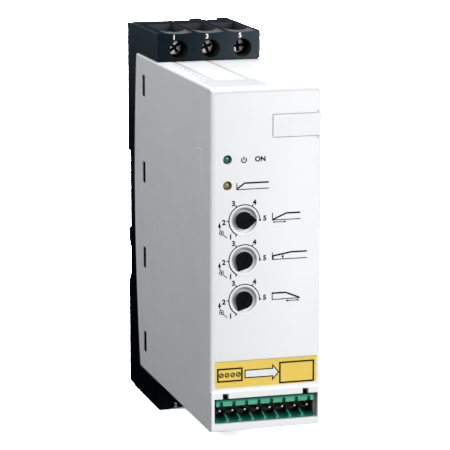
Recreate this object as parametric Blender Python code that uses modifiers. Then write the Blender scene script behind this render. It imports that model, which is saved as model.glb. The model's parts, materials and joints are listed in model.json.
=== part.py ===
"""A soft starter for small motors: a narrow rail-mounted box with a pale moulded
cover, a black base that carries the power terminals above and below it, a plug-in
control header, three setting knobs and two lamps.

Metres, +Z up, front towards -Y. The origin is the middle of the rail seat's floor.
"""
import bpy
import bmesh
from math import acos, atan2, cos, hypot, pi, radians, sin, sqrt
from mathutils import Vector

# Whole object
CASE_WIDTH = 0.0450
CASE_DEPTH = 0.1310
COVER_HEIGHT = 0.1348
GAP = 0.0003
OVER = 0.0010

# Rail seat and its spring clip
RAIL_HEIGHT = 0.0354
RAIL_RECESS = 0.0036
RAIL_UP = 0.0740
RAIL_LIP_DROP = 0.0009
RAIL_POCKET = 0.0016
HOLLOW_END = 0.0362
HOLLOW_SLOPE = 0.0043
CLIP_TONGUE_WIDTH = 0.0190
CLIP_TONGUE_LENGTH = 0.0148
CLIP_THICKNESS = 0.0030
CLIP_SPRING_ROOM = 0.0067
CLIP_NOSE_REACH = 0.0033
CLIP_NOSE_ROUND = 0.0008
CLIP_NOSE_FLAT = 0.0042
CLIP_NOSE_SLOPE = 0.0044
GUIDE_WIDTH = 0.0034
GUIDE_LENGTH = 0.0060
GUIDE_DROP = 0.0115
GUIDE_THICKNESS = 0.0014
SPRING_WIRE = 0.00022
SPRING_RADIUS = 0.0010
SPRING_TURNS = 6

# Cover
WALL = 0.0020
FRONT_ROUND = 0.0016
SIDE_ROUND_SHARE = 0.5
BEZEL_STEP = 0.0005
BEZEL_HEIGHT = 0.0163
BEZEL_ROUND = 0.0004
REAR_SETBACK_TOP = 0.0175
REAR_SETBACK_MIDDLE = 0.0135
REAR_SETBACK_BOTTOM = 0.0210
LATCH_COUNT = 4
LATCH_LOW = 0.0127
LATCH_HIGH = 0.0123
LATCH_LENGTH = 0.0092
LATCH_WIDTH = 0.0044
LATCH_SETBACK = 0.0295
VENT_START = 0.0115
VENT_PITCH = 0.0062
VENT_LENGTH = 0.0036
VENT_WIDTH = 0.0034
VENT_INSET = 0.0006
CHANNEL_DEPTH = 0.0004
CHANNEL_START = 0.0045
CHANNEL_END = 0.0233
CHANNEL_LEFT = 0.0020
CHANNEL_RIGHT = 0.0246
GROOVE_WIDTH = 0.0018
GROOVE_FIRST = 0.0078
GROOVE_SECOND = 0.0220

# Printed front sheet, its lower label and the marker tag
SHEET_THICKNESS = 0.00035
SHEET_MARGIN_LEFT = 0.0020
SHEET_MARGIN_RIGHT = 0.00155
SHEET_BOTTOM = 0.0176
SHEET_HEAD = 0.0022
SHEET_ROUND = 0.0016
SHEET_NOTCH_ROUND = 0.0005
LABEL_TOP = 0.0280
TAG_WIDTH = 0.01845
TAG_DROP = 0.0084
TAG_HEIGHT = 0.0092
TAG_THICKNESS = 0.0007
TAG_POCKET = 0.0010
TAG_END_INSET = 0.0002
TAG_END_ROUND = 0.0006

# Lamps and knobs, counted down from the cover's top
LAMP_X = 0.0071
LAMP_DROP = 0.0275
LAMP_PITCH = 0.0101
LAMP_RADIUS = 0.0015
LAMP_HOLE_RADIUS = 0.0018
LAMP_SUNK = 0.0008
LAMP_FLANGE = 0.0006
KNOB_X = 0.0138
KNOB_COUNT = 3
KNOB_DROP = 0.0514
KNOB_PITCH = 0.0156
KNOB_RADIUS = 0.0034
KNOB_POINTER = 0.0049
KNOB_PLATE = 0.0007
KNOB_BODY = 0.0008
KNOB_PROUD = 0.0004
KNOB_STEM_RADIUS = 0.0022
KNOB_SLOT = 0.0009
WELL_RADIUS = 0.0051
WELL_DEPTH = 0.0019
WELL_RIM = 0.0004
WELL_BOSS_RADIUS = 0.0066
WELL_BOSS_DEPTH = 0.0040

# Control header
HEADER_PITCH = 0.00508
WINDOW_MARGIN = 0.00175
WINDOW_BOTTOM = 0.0034
WINDOW_HEIGHT = 0.0100
WINDOW_MORE_RIGHT = 0.0005
KEY_NOTCH_INSET = 0.0045
KEY_NOTCH_WIDTH = 0.0024
KEY_NOTCH_HEIGHT = 0.0020
HEADER_SUNK = 0.0009
HEADER_HEADROOM = 0.0007
HEADER_SIDE_ROOM = 0.0009
HEADER_TOP_WALL = 0.0025
HEADER_LIP = 0.0012
HEADER_RISE = 0.0018
HEADER_BACK_WALL = 0.0015
PIN_SIZE = 0.0010
PIN_UP = 0.0078
PIN_SUNK = 0.0029
SCOOP_RIB = 0.0005
SCOOP_DEPTH = 0.0010
CODING_WIDTH = 0.0014
CODING_DROP = 0.0006
CODING_DEPTH = 0.0008

# Terminal blocks, above and below the cover
BASE_INSET = 0.0004
BASE_ROUND = 0.0004
BLOCK_DEPTH = 0.0506
BLOCK_HEIGHT = 0.0118
BLOCK_DROP = 0.0065
BLOCK_FLOOR = 0.0015
HOUSING_SETBACK = 0.0028
POLE_COUNT = 3
POLE_MARGIN = 0.0017
POLE_SHIFT = 0.0008
POLE_WALL = 0.0024
CELL_LENGTH = 0.0200
CELL_WALL = 0.0018
SHELF_WALL = 0.0016
TROUGH_DEPTH = 0.0007
TROUGH_END = 0.0310
SCOOP_REACH = 0.0052
SCOOP_SINK = 0.0020
SLIT_WIDTH = 0.0009
SLIT_DEPTH = 0.0025
SLIT_START = 0.0066
SLIT_LENGTH = 0.0250
NOTCH_DEPTH = 0.0008
NOTCH_LENGTH = 0.0090
NOTCH_BUMP_HALF = 0.0021
NOTCH_END = 0.0047
SCREW_UP = 0.0047
DRIVER_CLEARANCE = 0.0006
DRIVER_WELL_DEPTH = 0.0110
SCREW_HEAD_RADIUS = 0.0032
SCREW_HEAD_HEIGHT = 0.0026
SCREW_HEAD_ROUND = 0.0004
SCREW_SHANK_RADIUS = 0.0020
SCREW_SLOT = 0.0013
SCREW_CROSS = 0.0050
SCREW_RECESS = 0.0016
BAR_THICKNESS = 0.0016
BAR_TO_SHELF = 0.0108
BAR_LENGTH = 0.0284
BAR_OVER_AXIS = 0.0032
CAGE_HEIGHT = 0.0080
CAGE_SIDE = 0.0012
CAGE_FRONT = 0.0028
CAGE_REAR = 0.0014
CAGE_PLAY = 0.0005
CAGE_CLEAR_SIDE = 0.0004
CAGE_CLEAR_FRONT = 0.0005
CAGE_MOUTH = 0.0057

# Base tray
CORE_REACH = 0.0055
CORE_WALL = 0.0018
BACK_WALL = 0.0024

# Boards and what they carry
CONTROL_BOARD_Y = 0.0100
CONTROL_BOARD_FOOT = 0.0040
CONTROL_BOARD_HEAD = 0.0128
BOARD_THICKNESS = 0.0016
POWER_BOARD_MARGIN = 0.0078
LOGIC_BOARD_INSET = 0.0032
LOGIC_BOARD_FOOT = 0.0250
LOGIC_BOARD_HEAD = 0.0298
TRIMMER_SIZE = 0.0095
TRIMMER_DEPTH = 0.0047
TRIMMER_SOCKET = 0.0028
CHIP_SIZE = 0.0120
CHIP_THICKNESS = 0.0018
RELAY_LENGTH = 0.0280
RELAY_DEPTH = 0.0152
RELAY_DROP = 0.0230
RELAY_SPACING = 0.0013
RELAY_MARGIN = 0.0018
RELAY_TO_BOARD = 0.0042
CAPACITOR_RADIUS = 0.0050
CAPACITOR_LENGTH = 0.0125
CAPACITOR_MARGIN = 0.0034
CAPACITOR_DROP = 0.0130
VARISTOR_RADIUS = 0.0055
VARISTOR_THICKNESS = 0.0040
VARISTOR_DROP = 0.0120
MODULE_LENGTH = 0.0240
MODULE_DEPTH = 0.0080
MODULE_SPACING = 0.0028
MODULE_DROP = 0.0040
SINK_CLEARANCE = 0.0006
SINK_HEAD = 0.0168
SINK_FOOT = 0.0039
SINK_PLATE = 0.0030
FIN_COUNT = 10
FIN_THICKNESS = 0.0012

# Places that follow from the sizes above
FRONT_Y = RAIL_RECESS - CASE_DEPTH
FACE_Y = FRONT_Y + BEZEL_STEP
BACK_Y = RAIL_RECESS
COVER_BOTTOM = -RAIL_UP
COVER_TOP = COVER_BOTTOM + COVER_HEIGHT
MIDDLE_Z = COVER_BOTTOM + COVER_HEIGHT / 2
HALF_COVER = COVER_HEIGHT / 2
LEFT_X = -CASE_WIDTH / 2
INNER_HALF = CASE_WIDTH / 2 - WALL
CORE_HALF = INNER_HALF - GAP
BASE_HALF = CASE_WIDTH / 2 - BASE_INSET
BLOCK_FRONT_Y = BACK_Y - BLOCK_DEPTH
LATCH_Y = BACK_Y - LATCH_SETBACK
LATCH_PITCH = (COVER_HEIGHT - LATCH_LOW - LATCH_HIGH) / (LATCH_COUNT - 1)
POLE_PITCH = 2 * (BASE_HALF - POLE_MARGIN) / POLE_COUNT
CELL_WIDTH = POLE_PITCH - POLE_WALL
CAGE_OUTER = CELL_WIDTH / 2 - CAGE_PLAY
CAGE_INNER = CAGE_OUTER - CAGE_SIDE
BAR_HALF = CAGE_INNER - CAGE_CLEAR_SIDE
BLOCK_LOW = HALF_COVER + GAP
BLOCK_HIGH = BLOCK_LOW + BLOCK_HEIGHT
HOUSING_LOW = BLOCK_LOW - BLOCK_DROP
CELL_LOW = HOUSING_LOW + BLOCK_FLOOR
SCREW_LEVEL = BLOCK_LOW + SCREW_UP
SHELF_Y = BLOCK_FRONT_Y + DRIVER_WELL_DEPTH
CELL_FRONT_Y = SHELF_Y + SHELF_WALL
CELL_BACK_Y = CELL_FRONT_Y + CELL_LENGTH
BAR_FRONT_Y = SHELF_Y + BAR_TO_SHELF
BAR_BACK_Y = BAR_FRONT_Y + BAR_THICKNESS
POWER_BOARD_Y = BAR_BACK_Y + GAP
SINK_Y = POWER_BOARD_Y + BOARD_THICKNESS + GAP + MODULE_DEPTH + GAP
SEAT_LOW = -RAIL_HEIGHT / 2
CLIP_TOP = SEAT_LOW - GAP
CLIP_TAIL = CLIP_TOP - CLIP_TONGUE_LENGTH
SHEET_RECESS = SHEET_THICKNESS + GAP
SHEET_RIGHT = CASE_WIDTH / 2 - SHEET_MARGIN_RIGHT
SHEET_TOP = COVER_TOP - SHEET_HEAD
TAG_TOP = SHEET_TOP - TAG_DROP
TAG_BOTTOM = TAG_TOP - TAG_HEIGHT
TAG_LEFT = SHEET_RIGHT - TAG_WIDTH
WINDOW_HALF = CASE_WIDTH / 2 - WINDOW_MARGIN
HEADER_POLES = round(2 * (WINDOW_HALF - HEADER_SIDE_ROOM) / HEADER_PITCH)
HEADER_TOP = COVER_BOTTOM + WINDOW_BOTTOM + WINDOW_HEIGHT - HEADER_HEADROOM
TRAY_HALF = CORE_HALF - CORE_WALL
LOGIC_BOARD_X = LOGIC_BOARD_INSET - TRAY_HALF
POWER_BOARD_TOP = COVER_TOP - POWER_BOARD_MARGIN
RELAY_TOP = POWER_BOARD_TOP - RELAY_DROP
VARISTOR_Z = RELAY_TOP - RELAY_LENGTH - VARISTOR_DROP - VARISTOR_RADIUS / 2
SINK_HALF = TRAY_HALF - SINK_CLEARANCE
SINK_TOP = COVER_TOP - SINK_HEAD
SINK_BOTTOM = SEAT_LOW + CORE_WALL + SINK_FOOT

parts = bpy.data.collections.new("Soft starter")
cutters = bpy.data.collections.new("Cutters")


def clear_scene():
    for old in list(bpy.data.objects):
        bpy.data.objects.remove(old, do_unlink=True)
    bpy.context.scene.collection.children.link(parts)
    bpy.context.scene.collection.children.link(cutters)


def move_to(obj, collection):
    for home in list(obj.users_collection):
        home.objects.unlink(obj)
    collection.objects.link(obj)


def across(x):
    """World X of a place measured from the cover's left edge."""
    return LEFT_X + x


def up(z):
    """World Z of a place measured from the cover's lower edge."""
    return COVER_BOTTOM + z


def back(y):
    """World Y of a place measured back from the front."""
    return FRONT_Y + y


def level(side, height):
    """World Z of a height from the cover's middle, upwards or downwards."""
    return MIDDLE_Z + side * height


def pole_x(pole):
    return POLE_SHIFT + (pole - (POLE_COUNT - 1) / 2) * POLE_PITCH


# Basic shapes


def mesh_object(name, mesh):
    obj = bpy.data.objects.new(name, mesh)
    parts.objects.link(obj)
    return obj


def box(name, low, high):
    """A box between two corners, with its origin in its middle."""
    middle = [(a + b) / 2 for a, b in zip(low, high)]
    bpy.ops.mesh.primitive_cube_add(size=1, location=middle)
    obj = bpy.context.object
    obj.name = name
    for vertex in obj.data.vertices:
        for axis in range(3):
            vertex.co[axis] *= abs(high[axis] - low[axis])
    move_to(obj, parts)
    return obj


def side_box(name, side, x_low, x_high, y_low, y_high, low, high):
    """A box whose heights are measured from the cover's middle on one side."""
    heights = sorted((level(side, low), level(side, high)))
    return box(name, (x_low, y_low, heights[0]), (x_high, y_high, heights[1]))


def rod(name, radius, start, end, x, z, sides=32):
    """A cylinder along Y between two depths."""
    bpy.ops.mesh.primitive_cylinder_add(
        vertices=sides, radius=radius, depth=end - start,
        location=(x, (start + end) / 2, z), rotation=(pi / 2, 0, 0))
    obj = bpy.context.object
    obj.name = name
    move_to(obj, parts)
    return obj


def turned(name, profile, steps=32):
    """A turned shape from points (radius, height), given from its top to its foot."""
    mesh = bpy.data.meshes.new(name)
    points = [(radius, 0, height) for radius, height in profile]
    edges = [(i, i + 1) for i in range(len(points) - 1)]
    mesh.from_pydata(points, edges, [])
    obj = mesh_object(name, mesh)
    spin = obj.modifiers.new("Turn", "SCREW")
    spin.axis = "Z"
    spin.angle = 2 * pi
    spin.steps = steps
    spin.render_steps = steps
    spin.use_merge_vertices = True
    spin.merge_threshold = 0.00001
    return obj


def face_front(obj, x, y, z):
    """Turns a shape so that its top looks to the front, and puts it in place."""
    obj.rotation_euler = (pi / 2, 0, 0)
    obj.location = (x, y, z)
    return obj


def face_side(obj, x):
    """Turns an outline drawn as (depth, height) so that its thickness runs along X."""
    obj.rotation_euler = (pi / 2, 0, pi / 2)
    obj.location = (x, 0, 0)
    return obj


def outline(name, loops, thickness):
    """A flat plate from closed loops of points; loops after the first are holes."""
    curve = bpy.data.curves.new(name, "CURVE")
    curve.dimensions = "2D"
    curve.fill_mode = "BOTH"
    curve.extrude = thickness / 2
    for loop in loops:
        spline = curve.splines.new("POLY")
        spline.points.add(len(loop) - 1)
        for point, (x, y) in zip(spline.points, loop):
            point.co = (x, y, 0, 1)
        spline.use_cyclic_u = True
    return curve_to_mesh(name, curve)


def curve_to_mesh(name, curve):
    drawn = bpy.data.objects.new(name + "_curve", curve)
    parts.objects.link(drawn)
    bpy.context.view_layer.update()
    seen = drawn.evaluated_get(bpy.context.evaluated_depsgraph_get())
    mesh = bpy.data.meshes.new_from_object(seen)
    bpy.data.objects.remove(drawn, do_unlink=True)
    work = bmesh.new()
    work.from_mesh(mesh)
    bmesh.ops.remove_doubles(work, verts=work.verts, dist=0.000001)
    bmesh.ops.recalc_face_normals(work, faces=work.faces)
    work.to_mesh(mesh)
    work.free()
    return mesh_object(name, mesh)


def circle_loop(x, y, radius, steps=40):
    return [(x + radius * cos(2 * pi * i / steps), y + radius * sin(2 * pi * i / steps))
            for i in range(steps)]


def rectangle(left, bottom, right, top):
    return [(left, bottom), (right, bottom), (right, top), (left, top)]


def rounded(points, radii, steps=4):
    """A closed loop of points with every corner replaced by an arc of its own radius."""
    result = []
    count = len(points)
    for i, (x, y) in enumerate(points):
        radius = radii[i]
        before, after = points[i - 1], points[(i + 1) % count]
        a = (before[0] - x, before[1] - y)
        b = (after[0] - x, after[1] - y)
        a = (a[0] / hypot(*a), a[1] / hypot(*a))
        b = (b[0] / hypot(*b), b[1] / hypot(*b))
        half = sqrt((1 + a[0] * b[0] + a[1] * b[1]) / 2)
        sine = sqrt(1 - half * half)
        reach = radius / sine
        middle = (a[0] + b[0], a[1] + b[1])
        size = hypot(*middle)
        centre = (x + middle[0] / size * reach, y + middle[1] / size * reach)
        start = (x + a[0] * reach * half, y + a[1] * reach * half)
        end = (x + b[0] * reach * half, y + b[1] * reach * half)
        first = atan2(start[1] - centre[1], start[0] - centre[0])
        turn = atan2(end[1] - centre[1], end[0] - centre[0]) - first
        turn = (turn + pi) % (2 * pi) - pi
        for step in range(steps + 1):
            angle = first + turn * step / steps
            result.append((centre[0] + radius * cos(angle), centre[1] + radius * sin(angle)))
    return result


def arc_through(first, middle, last, steps):
    """Points along the circle through three points, from the first to the last."""
    (x1, y1), (x2, y2), (x3, y3) = first, middle, last
    area = 2 * (x1 * (y2 - y3) + x2 * (y3 - y1) + x3 * (y1 - y2))
    s1, s2, s3 = (x1 * x1 + y1 * y1), (x2 * x2 + y2 * y2), (x3 * x3 + y3 * y3)
    cx = (s1 * (y2 - y3) + s2 * (y3 - y1) + s3 * (y1 - y2)) / area
    cy = (s1 * (x3 - x2) + s2 * (x1 - x3) + s3 * (x2 - x1)) / area
    radius = hypot(x1 - cx, y1 - cy)
    start = atan2(y1 - cy, x1 - cx)
    turn = atan2(y3 - cy, x3 - cx) - start
    turn = (turn + pi) % (2 * pi) - pi
    return [(cx + radius * cos(start + turn * i / steps),
             cy + radius * sin(start + turn * i / steps)) for i in range(steps + 1)]


# Joining, cutting and finishing


def join_objects(objects, name):
    """Puts several separate shapes in one object, for a single Boolean."""
    if len(objects) > 1:
        bpy.context.view_layer.update()
        with bpy.context.temp_override(active_object=objects[0], object=objects[0],
                                       selected_objects=objects,
                                       selected_editable_objects=objects):
            bpy.ops.object.join()
    objects[0].name = name
    return objects[0]


def boolean(target, tool, operation):
    modifier = target.modifiers.new(tool.name, "BOOLEAN")
    modifier.operation = operation
    modifier.solver = "EXACT"
    modifier.object = tool
    move_to(tool, cutters)
    tool.hide_render = True
    tool.display_type = "WIRE"


def cut(target, tool):
    boolean(target, tool, "DIFFERENCE")


def add(target, tool):
    boolean(target, tool, "UNION")


def bevel(obj, width, segments=2):
    modifier = obj.modifiers.new("Round", "BEVEL")
    modifier.width = width
    modifier.segments = segments
    modifier.limit_method = "ANGLE"
    modifier.angle_limit = radians(50)
    return modifier


def bevel_by_weight(obj, width, segments, weight_of):
    """Rounds the edges to which weight_of gives a share of the width."""
    mesh = obj.data
    layer = mesh.attributes.new("bevel_weight_edge", "FLOAT", "EDGE")
    for edge in mesh.edges:
        ends = [mesh.vertices[i].co for i in edge.vertices]
        layer.data[edge.index].value = weight_of(ends[0], ends[1])
    modifier = obj.modifiers.new("Round", "BEVEL")
    modifier.width = width
    modifier.segments = segments
    modifier.limit_method = "WEIGHT"


def smooth(obj, angle=35):
    obj.data.shade_smooth()
    obj.data.set_sharp_from_angle(angle=radians(angle))


def finish(obj, colour, roughness, metallic=0.0):
    """Gives a piece its own material."""
    material = bpy.data.materials.new(obj.name)
    material.use_nodes = True
    shader = material.node_tree.nodes["Principled BSDF"]
    shader.inputs["Base Color"].default_value = (*colour, 1)
    shader.inputs["Roughness"].default_value = roughness
    shader.inputs["Metallic"].default_value = metallic
    obj.data.materials.clear()
    obj.data.materials.append(material)


def finish_cover_white(obj):
    finish(obj, (0.80, 0.81, 0.82), 0.45)


def finish_base_black(obj):
    finish(obj, (0.018, 0.024, 0.030), 0.42)


def finish_steel(obj):
    finish(obj, (0.62, 0.60, 0.56), 0.30, 1.0)


def finish_copper(obj):
    finish(obj, (0.70, 0.62, 0.52), 0.30, 1.0)


def finish_board(obj):
    finish(obj, (0.02, 0.16, 0.07), 0.45)


# Cover


def rear_edge(gap):
    """The cover's curved rear edge, from its lower end to its upper end."""
    return arc_through((BACK_Y - REAR_SETBACK_BOTTOM + gap, COVER_BOTTOM),
                       (BACK_Y - REAR_SETBACK_MIDDLE + gap, MIDDLE_Z),
                       (BACK_Y - REAR_SETBACK_TOP + gap, COVER_TOP), 16)


def cover_shell():
    """The plain box, rounded round its front and along its length, then hollowed."""
    shell = box("cover", (LEFT_X, FACE_Y, COVER_BOTTOM), (-LEFT_X, 0, COVER_TOP))
    front = min(vertex.co.y for vertex in shell.data.vertices)

    def weight_of(a, b):
        if abs(a.y - b.y) > GAP:
            return SIDE_ROUND_SHARE
        return 1.0 if abs(a.y - front) < GAP else 0.0

    bevel_by_weight(shell, FRONT_ROUND, 4, weight_of)
    hollow = box("cover_hollow", (-INNER_HALF, FACE_Y + WALL, COVER_BOTTOM + WALL),
                 (INNER_HALF, OVER, COVER_TOP - WALL))
    cut(shell, hollow)
    return shell


def cover_rear_cut():
    """Everything behind the curved rear edge."""
    edge = rear_edge(0)
    low = (edge[0][0], COVER_BOTTOM - OVER)
    high = (edge[-1][0], COVER_TOP + OVER)
    far = BACK_Y + OVER
    loop = [low] + edge + [high, (far, high[1]), (far, low[1])]
    return face_side(outline("cover_rear_cut", [loop], CASE_WIDTH + 2 * OVER), 0)


def housing_notches():
    """Open ends of the top and bottom walls, for the terminal housings."""
    front = BLOCK_FRONT_Y + HOUSING_SETBACK - GAP
    notches = [side_box("notch", side, -INNER_HALF, INNER_HALF, front, BACK_Y,
                        HALF_COVER - WALL - OVER, HALF_COVER + OVER) for side in (1, -1)]
    return join_objects(notches, "housing_notches")


def bezel():
    """The slightly proud lower part of the front, round the control header."""
    proud = box("bezel", (LEFT_X + BEZEL_ROUND, FRONT_Y, COVER_BOTTOM + BEZEL_ROUND),
                (-LEFT_X - BEZEL_ROUND, FACE_Y + FRONT_ROUND + BEZEL_ROUND, up(BEZEL_HEIGHT)))
    bevel(proud, BEZEL_ROUND)
    return proud


def knob_bosses():
    start = FACE_Y + WALL / 2
    return join_objects([rod("boss", WELL_BOSS_RADIUS, start, FACE_Y + WELL_BOSS_DEPTH,
                             across(KNOB_X), knob_z(i)) for i in range(KNOB_COUNT)],
                        "knob_bosses")


def knob_z(index):
    """Height of a knob, the first one uppermost."""
    return COVER_TOP - KNOB_DROP - index * KNOB_PITCH


def lamp_z(index):
    """Height of a lamp, the first one uppermost."""
    return COVER_TOP - LAMP_DROP - index * LAMP_PITCH


def well_profile():
    """A dish: steep at its rim, a quarter round to a flat floor, and the stem's hole."""
    steps = 6
    floor_radius = KNOB_RADIUS - GAP
    profile = [(0, OVER), (WELL_RADIUS, OVER), (WELL_RADIUS, 0)]
    for i in range(1, steps + 1):
        turn = pi / 2 * i / steps
        radius = floor_radius + (WELL_RADIUS - floor_radius) * cos(turn)
        profile.append((radius, -WELL_DEPTH * sin(turn)))
    hole, end = KNOB_STEM_RADIUS + GAP, -WELL_BOSS_DEPTH - OVER
    return profile + [(hole, -WELL_DEPTH), (hole, end), (0, end)]


def knob_wells():
    wells = []
    for i in range(KNOB_COUNT):
        well = turned(f"well_{i}", well_profile(), 40)
        wells.append(face_front(well, across(KNOB_X), FACE_Y, knob_z(i)))
    return wells


def front_holes():
    """Straight holes through the front wall for the lamps."""
    start = FACE_Y - OVER
    end = FACE_Y + WALL + OVER
    return join_objects([rod("lamp_hole", LAMP_HOLE_RADIUS, start, end, across(LAMP_X),
                             lamp_z(i), 24) for i in range(2)], "front_holes")


def sheet_loop(grow):
    """Outline of the sheet and its label together, notched at the right for the tag."""
    left = across(SHEET_MARGIN_LEFT) - grow
    right = SHEET_RIGHT + grow
    low, high = up(SHEET_BOTTOM) - grow, SHEET_TOP + grow
    notch = TAG_LEFT + grow
    notch_low = TAG_BOTTOM + grow
    notch_high = TAG_TOP - grow
    corners = [(left, low), (right, low), (right, notch_low), (notch, notch_low),
               (notch, notch_high), (right, notch_high), (right, high), (left, high)]
    large, small = SHEET_ROUND, SHEET_NOTCH_ROUND
    return rounded(corners, [large, large, large, small, small, large, large, large])


def sheet_recess():
    """The shallow recess that takes the printed sheet, with an island round each well."""
    islands = [circle_loop(across(KNOB_X), knob_z(i), WELL_RADIUS + WELL_RIM)
               for i in range(KNOB_COUNT)]
    plate = outline("sheet_recess", [sheet_loop(GAP)] + islands, SHEET_RECESS + OVER)
    return face_front(plate, 0, FACE_Y + (SHEET_RECESS - OVER) / 2, 0)


def tag_pocket():
    """The pocket for the marker tag, open at the right side."""
    return box("tag_pocket", (TAG_LEFT, FACE_Y - OVER, TAG_BOTTOM),
               (-LEFT_X + OVER, FACE_Y + TAG_POCKET, TAG_TOP))


def header_window():
    """The header's opening through the front wall, with its two keying notches."""
    start, end = FRONT_Y - OVER, FACE_Y + WALL + OVER
    low, high = up(WINDOW_BOTTOM), up(WINDOW_BOTTOM + WINDOW_HEIGHT)
    half = WINDOW_HALF
    right = half + WINDOW_MORE_RIGHT
    loop = [(-half, low), (right, low), (right, high)]
    for x in (half - KEY_NOTCH_INSET, KEY_NOTCH_INSET - half):
        x0, x1 = x - KEY_NOTCH_WIDTH / 2, x + KEY_NOTCH_WIDTH / 2
        top = high + KEY_NOTCH_HEIGHT
        loop += [(x1, high), (x1, top), (x0, top), (x0, high)]
    loop.append((-half, high))
    return face_front(outline("header_window", [loop], end - start), 0, (start + end) / 2, 0)


def vents():
    """A ladder of slots along the left edge of the top wall and of the bottom wall."""
    left = -INNER_HALF + VENT_INSET
    count = int((BLOCK_FRONT_Y - back(VENT_START)) / VENT_PITCH)
    slots = []
    for side in (1, -1):
        for i in range(count):
            y = back(VENT_START + i * VENT_PITCH)
            slots.append(side_box("vent", side, left, left + VENT_WIDTH, y, y + VENT_LENGTH,
                                  HALF_COVER - WALL - OVER, HALF_COVER + OVER))
    return join_objects(slots, "vents")


def top_channel():
    """The shallow channel behind the top's front edge and the two grooves from it."""
    front, rear = back(CHANNEL_START), back(CHANNEL_END)
    far = BLOCK_FRONT_Y + HOUSING_SETBACK
    left, right = across(CHANNEL_LEFT), across(CHANNEL_RIGHT)
    loop = [(left, front), (right, front), (right, rear)]
    for x in (across(GROOVE_SECOND), across(GROOVE_FIRST)):
        loop += [(x + GROOVE_WIDTH / 2, rear), (x + GROOVE_WIDTH / 2, far),
                 (x - GROOVE_WIDTH / 2, far), (x - GROOVE_WIDTH / 2, rear)]
    loop.append((left, rear))
    plate = outline("top_channel", [loop], 2 * CHANNEL_DEPTH)
    plate.location.z = COVER_TOP
    return plate


def latch_z(index):
    return up(LATCH_LOW + index * LATCH_PITCH)


def latch_windows():
    windows = []
    y = LATCH_Y
    for i in range(LATCH_COUNT):
        z = latch_z(i)
        windows.append(box("window", (LEFT_X - OVER, y - LATCH_WIDTH / 2, z - LATCH_LENGTH / 2),
                           (-LEFT_X + OVER, y + LATCH_WIDTH / 2, z + LATCH_LENGTH / 2)))
    return join_objects(windows, "latch_windows")


def make_cover():
    cover = cover_shell()
    add(cover, bezel())
    add(cover, knob_bosses())
    cut(cover, cover_rear_cut())
    cut(cover, housing_notches())
    cut(cover, sheet_recess())
    cut(cover, tag_pocket())
    cut(cover, header_window())
    for well in knob_wells():
        cut(cover, well)
    cut(cover, front_holes())
    cut(cover, vents())
    cut(cover, top_channel())
    cut(cover, latch_windows())
    smooth(cover)
    finish_cover_white(cover)


# Printed sheet, label and marker tag


def film(name):
    """A thin sheet that fills the recess, clear of the wells and the lamps."""
    holes = [circle_loop(across(KNOB_X), knob_z(i), WELL_RADIUS + WELL_RIM + GAP)
             for i in range(KNOB_COUNT)]
    holes += [circle_loop(across(LAMP_X), lamp_z(i), LAMP_HOLE_RADIUS, 24) for i in range(2)]
    plate = outline(name, [sheet_loop(0)] + holes, SHEET_THICKNESS)
    return face_front(plate, 0, FACE_Y + SHEET_THICKNESS / 2, 0)


def make_front_sheet():
    """The printed sheet: everything of the recess above the label."""
    sheet = film("front_sheet")
    cut(sheet, box("sheet_foot", (LEFT_X, FACE_Y - OVER, COVER_BOTTOM),
                   (-LEFT_X, FACE_Y + WALL, up(LABEL_TOP) + GAP)))
    finish(sheet, (0.78, 0.79, 0.80), 0.50)


def make_lower_label():
    """The coloured strip below the sheet, in the same recess."""
    label = film("lower_label")
    cut(label, box("label_head", (LEFT_X, FACE_Y - OVER, up(LABEL_TOP)),
                   (-LEFT_X, FACE_Y + WALL, COVER_TOP)))
    finish(label, (0.80, 0.56, 0.08), 0.45)


def make_marker_tag():
    """The tag that slides in from the right, rounded there like the cover's edge."""
    left, right = TAG_LEFT + GAP, -LEFT_X - TAG_END_INSET
    rear = FACE_Y + TAG_POCKET - GAP
    front = rear - TAG_THICKNESS
    corners = [(left, rear), (left, front), (right, front), (right, rear)]
    sharp, soft = GAP / 4, TAG_END_ROUND
    tag = outline("marker_tag", [rounded(corners, [sharp, sharp, soft, sharp])],
                  TAG_HEIGHT - 2 * GAP)
    tag.location.z = (TAG_TOP + TAG_BOTTOM) / 2
    smooth(tag)
    finish(tag, (0.74, 0.75, 0.77), 0.50)


# Base with its two terminal blocks


def base_profile():
    """The base from the side, at full width: blocks, rear band and rail seat."""
    lip = BACK_Y
    top, bottom = level(1, BLOCK_HIGH), level(-1, BLOCK_HIGH)
    seat_high = RAIL_HEIGHT / 2
    rear = [(BLOCK_FRONT_Y, top), (lip, top), (lip, seat_high - RAIL_LIP_DROP),
            (RAIL_POCKET, seat_high - RAIL_LIP_DROP), (RAIL_POCKET, seat_high),
            (0, seat_high), (0, -HOLLOW_END), (lip, -HOLLOW_END - HOLLOW_SLOPE),
            (lip, bottom), (BLOCK_FRONT_Y, bottom)]
    edge = rear_edge(GAP)
    front = [(BLOCK_FRONT_Y, level(-1, BLOCK_LOW)), (edge[0][0], level(-1, BLOCK_LOW))]
    front += edge[1:-1]
    front += [(edge[-1][0], level(1, BLOCK_LOW)), (BLOCK_FRONT_Y, level(1, BLOCK_LOW))]
    profile = face_side(outline("rear_base", [rear + front], 2 * BASE_HALF), 0)
    bevel(profile, BASE_ROUND, 1)
    return profile


def base_core():
    """The narrower tray wall that the cover slides over."""
    return box("core", (-CORE_HALF, LATCH_Y - CORE_REACH, COVER_BOTTOM + WALL + GAP),
               (CORE_HALF, -GAP, COVER_TOP - WALL - GAP))


def core_hollow():
    height = HALF_COVER - WALL - GAP - CORE_WALL
    return side_box("core_hollow", 1, -TRAY_HALF, TRAY_HALF, LATCH_Y - CORE_REACH - OVER,
                    -BACK_WALL, -height, height)


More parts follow.
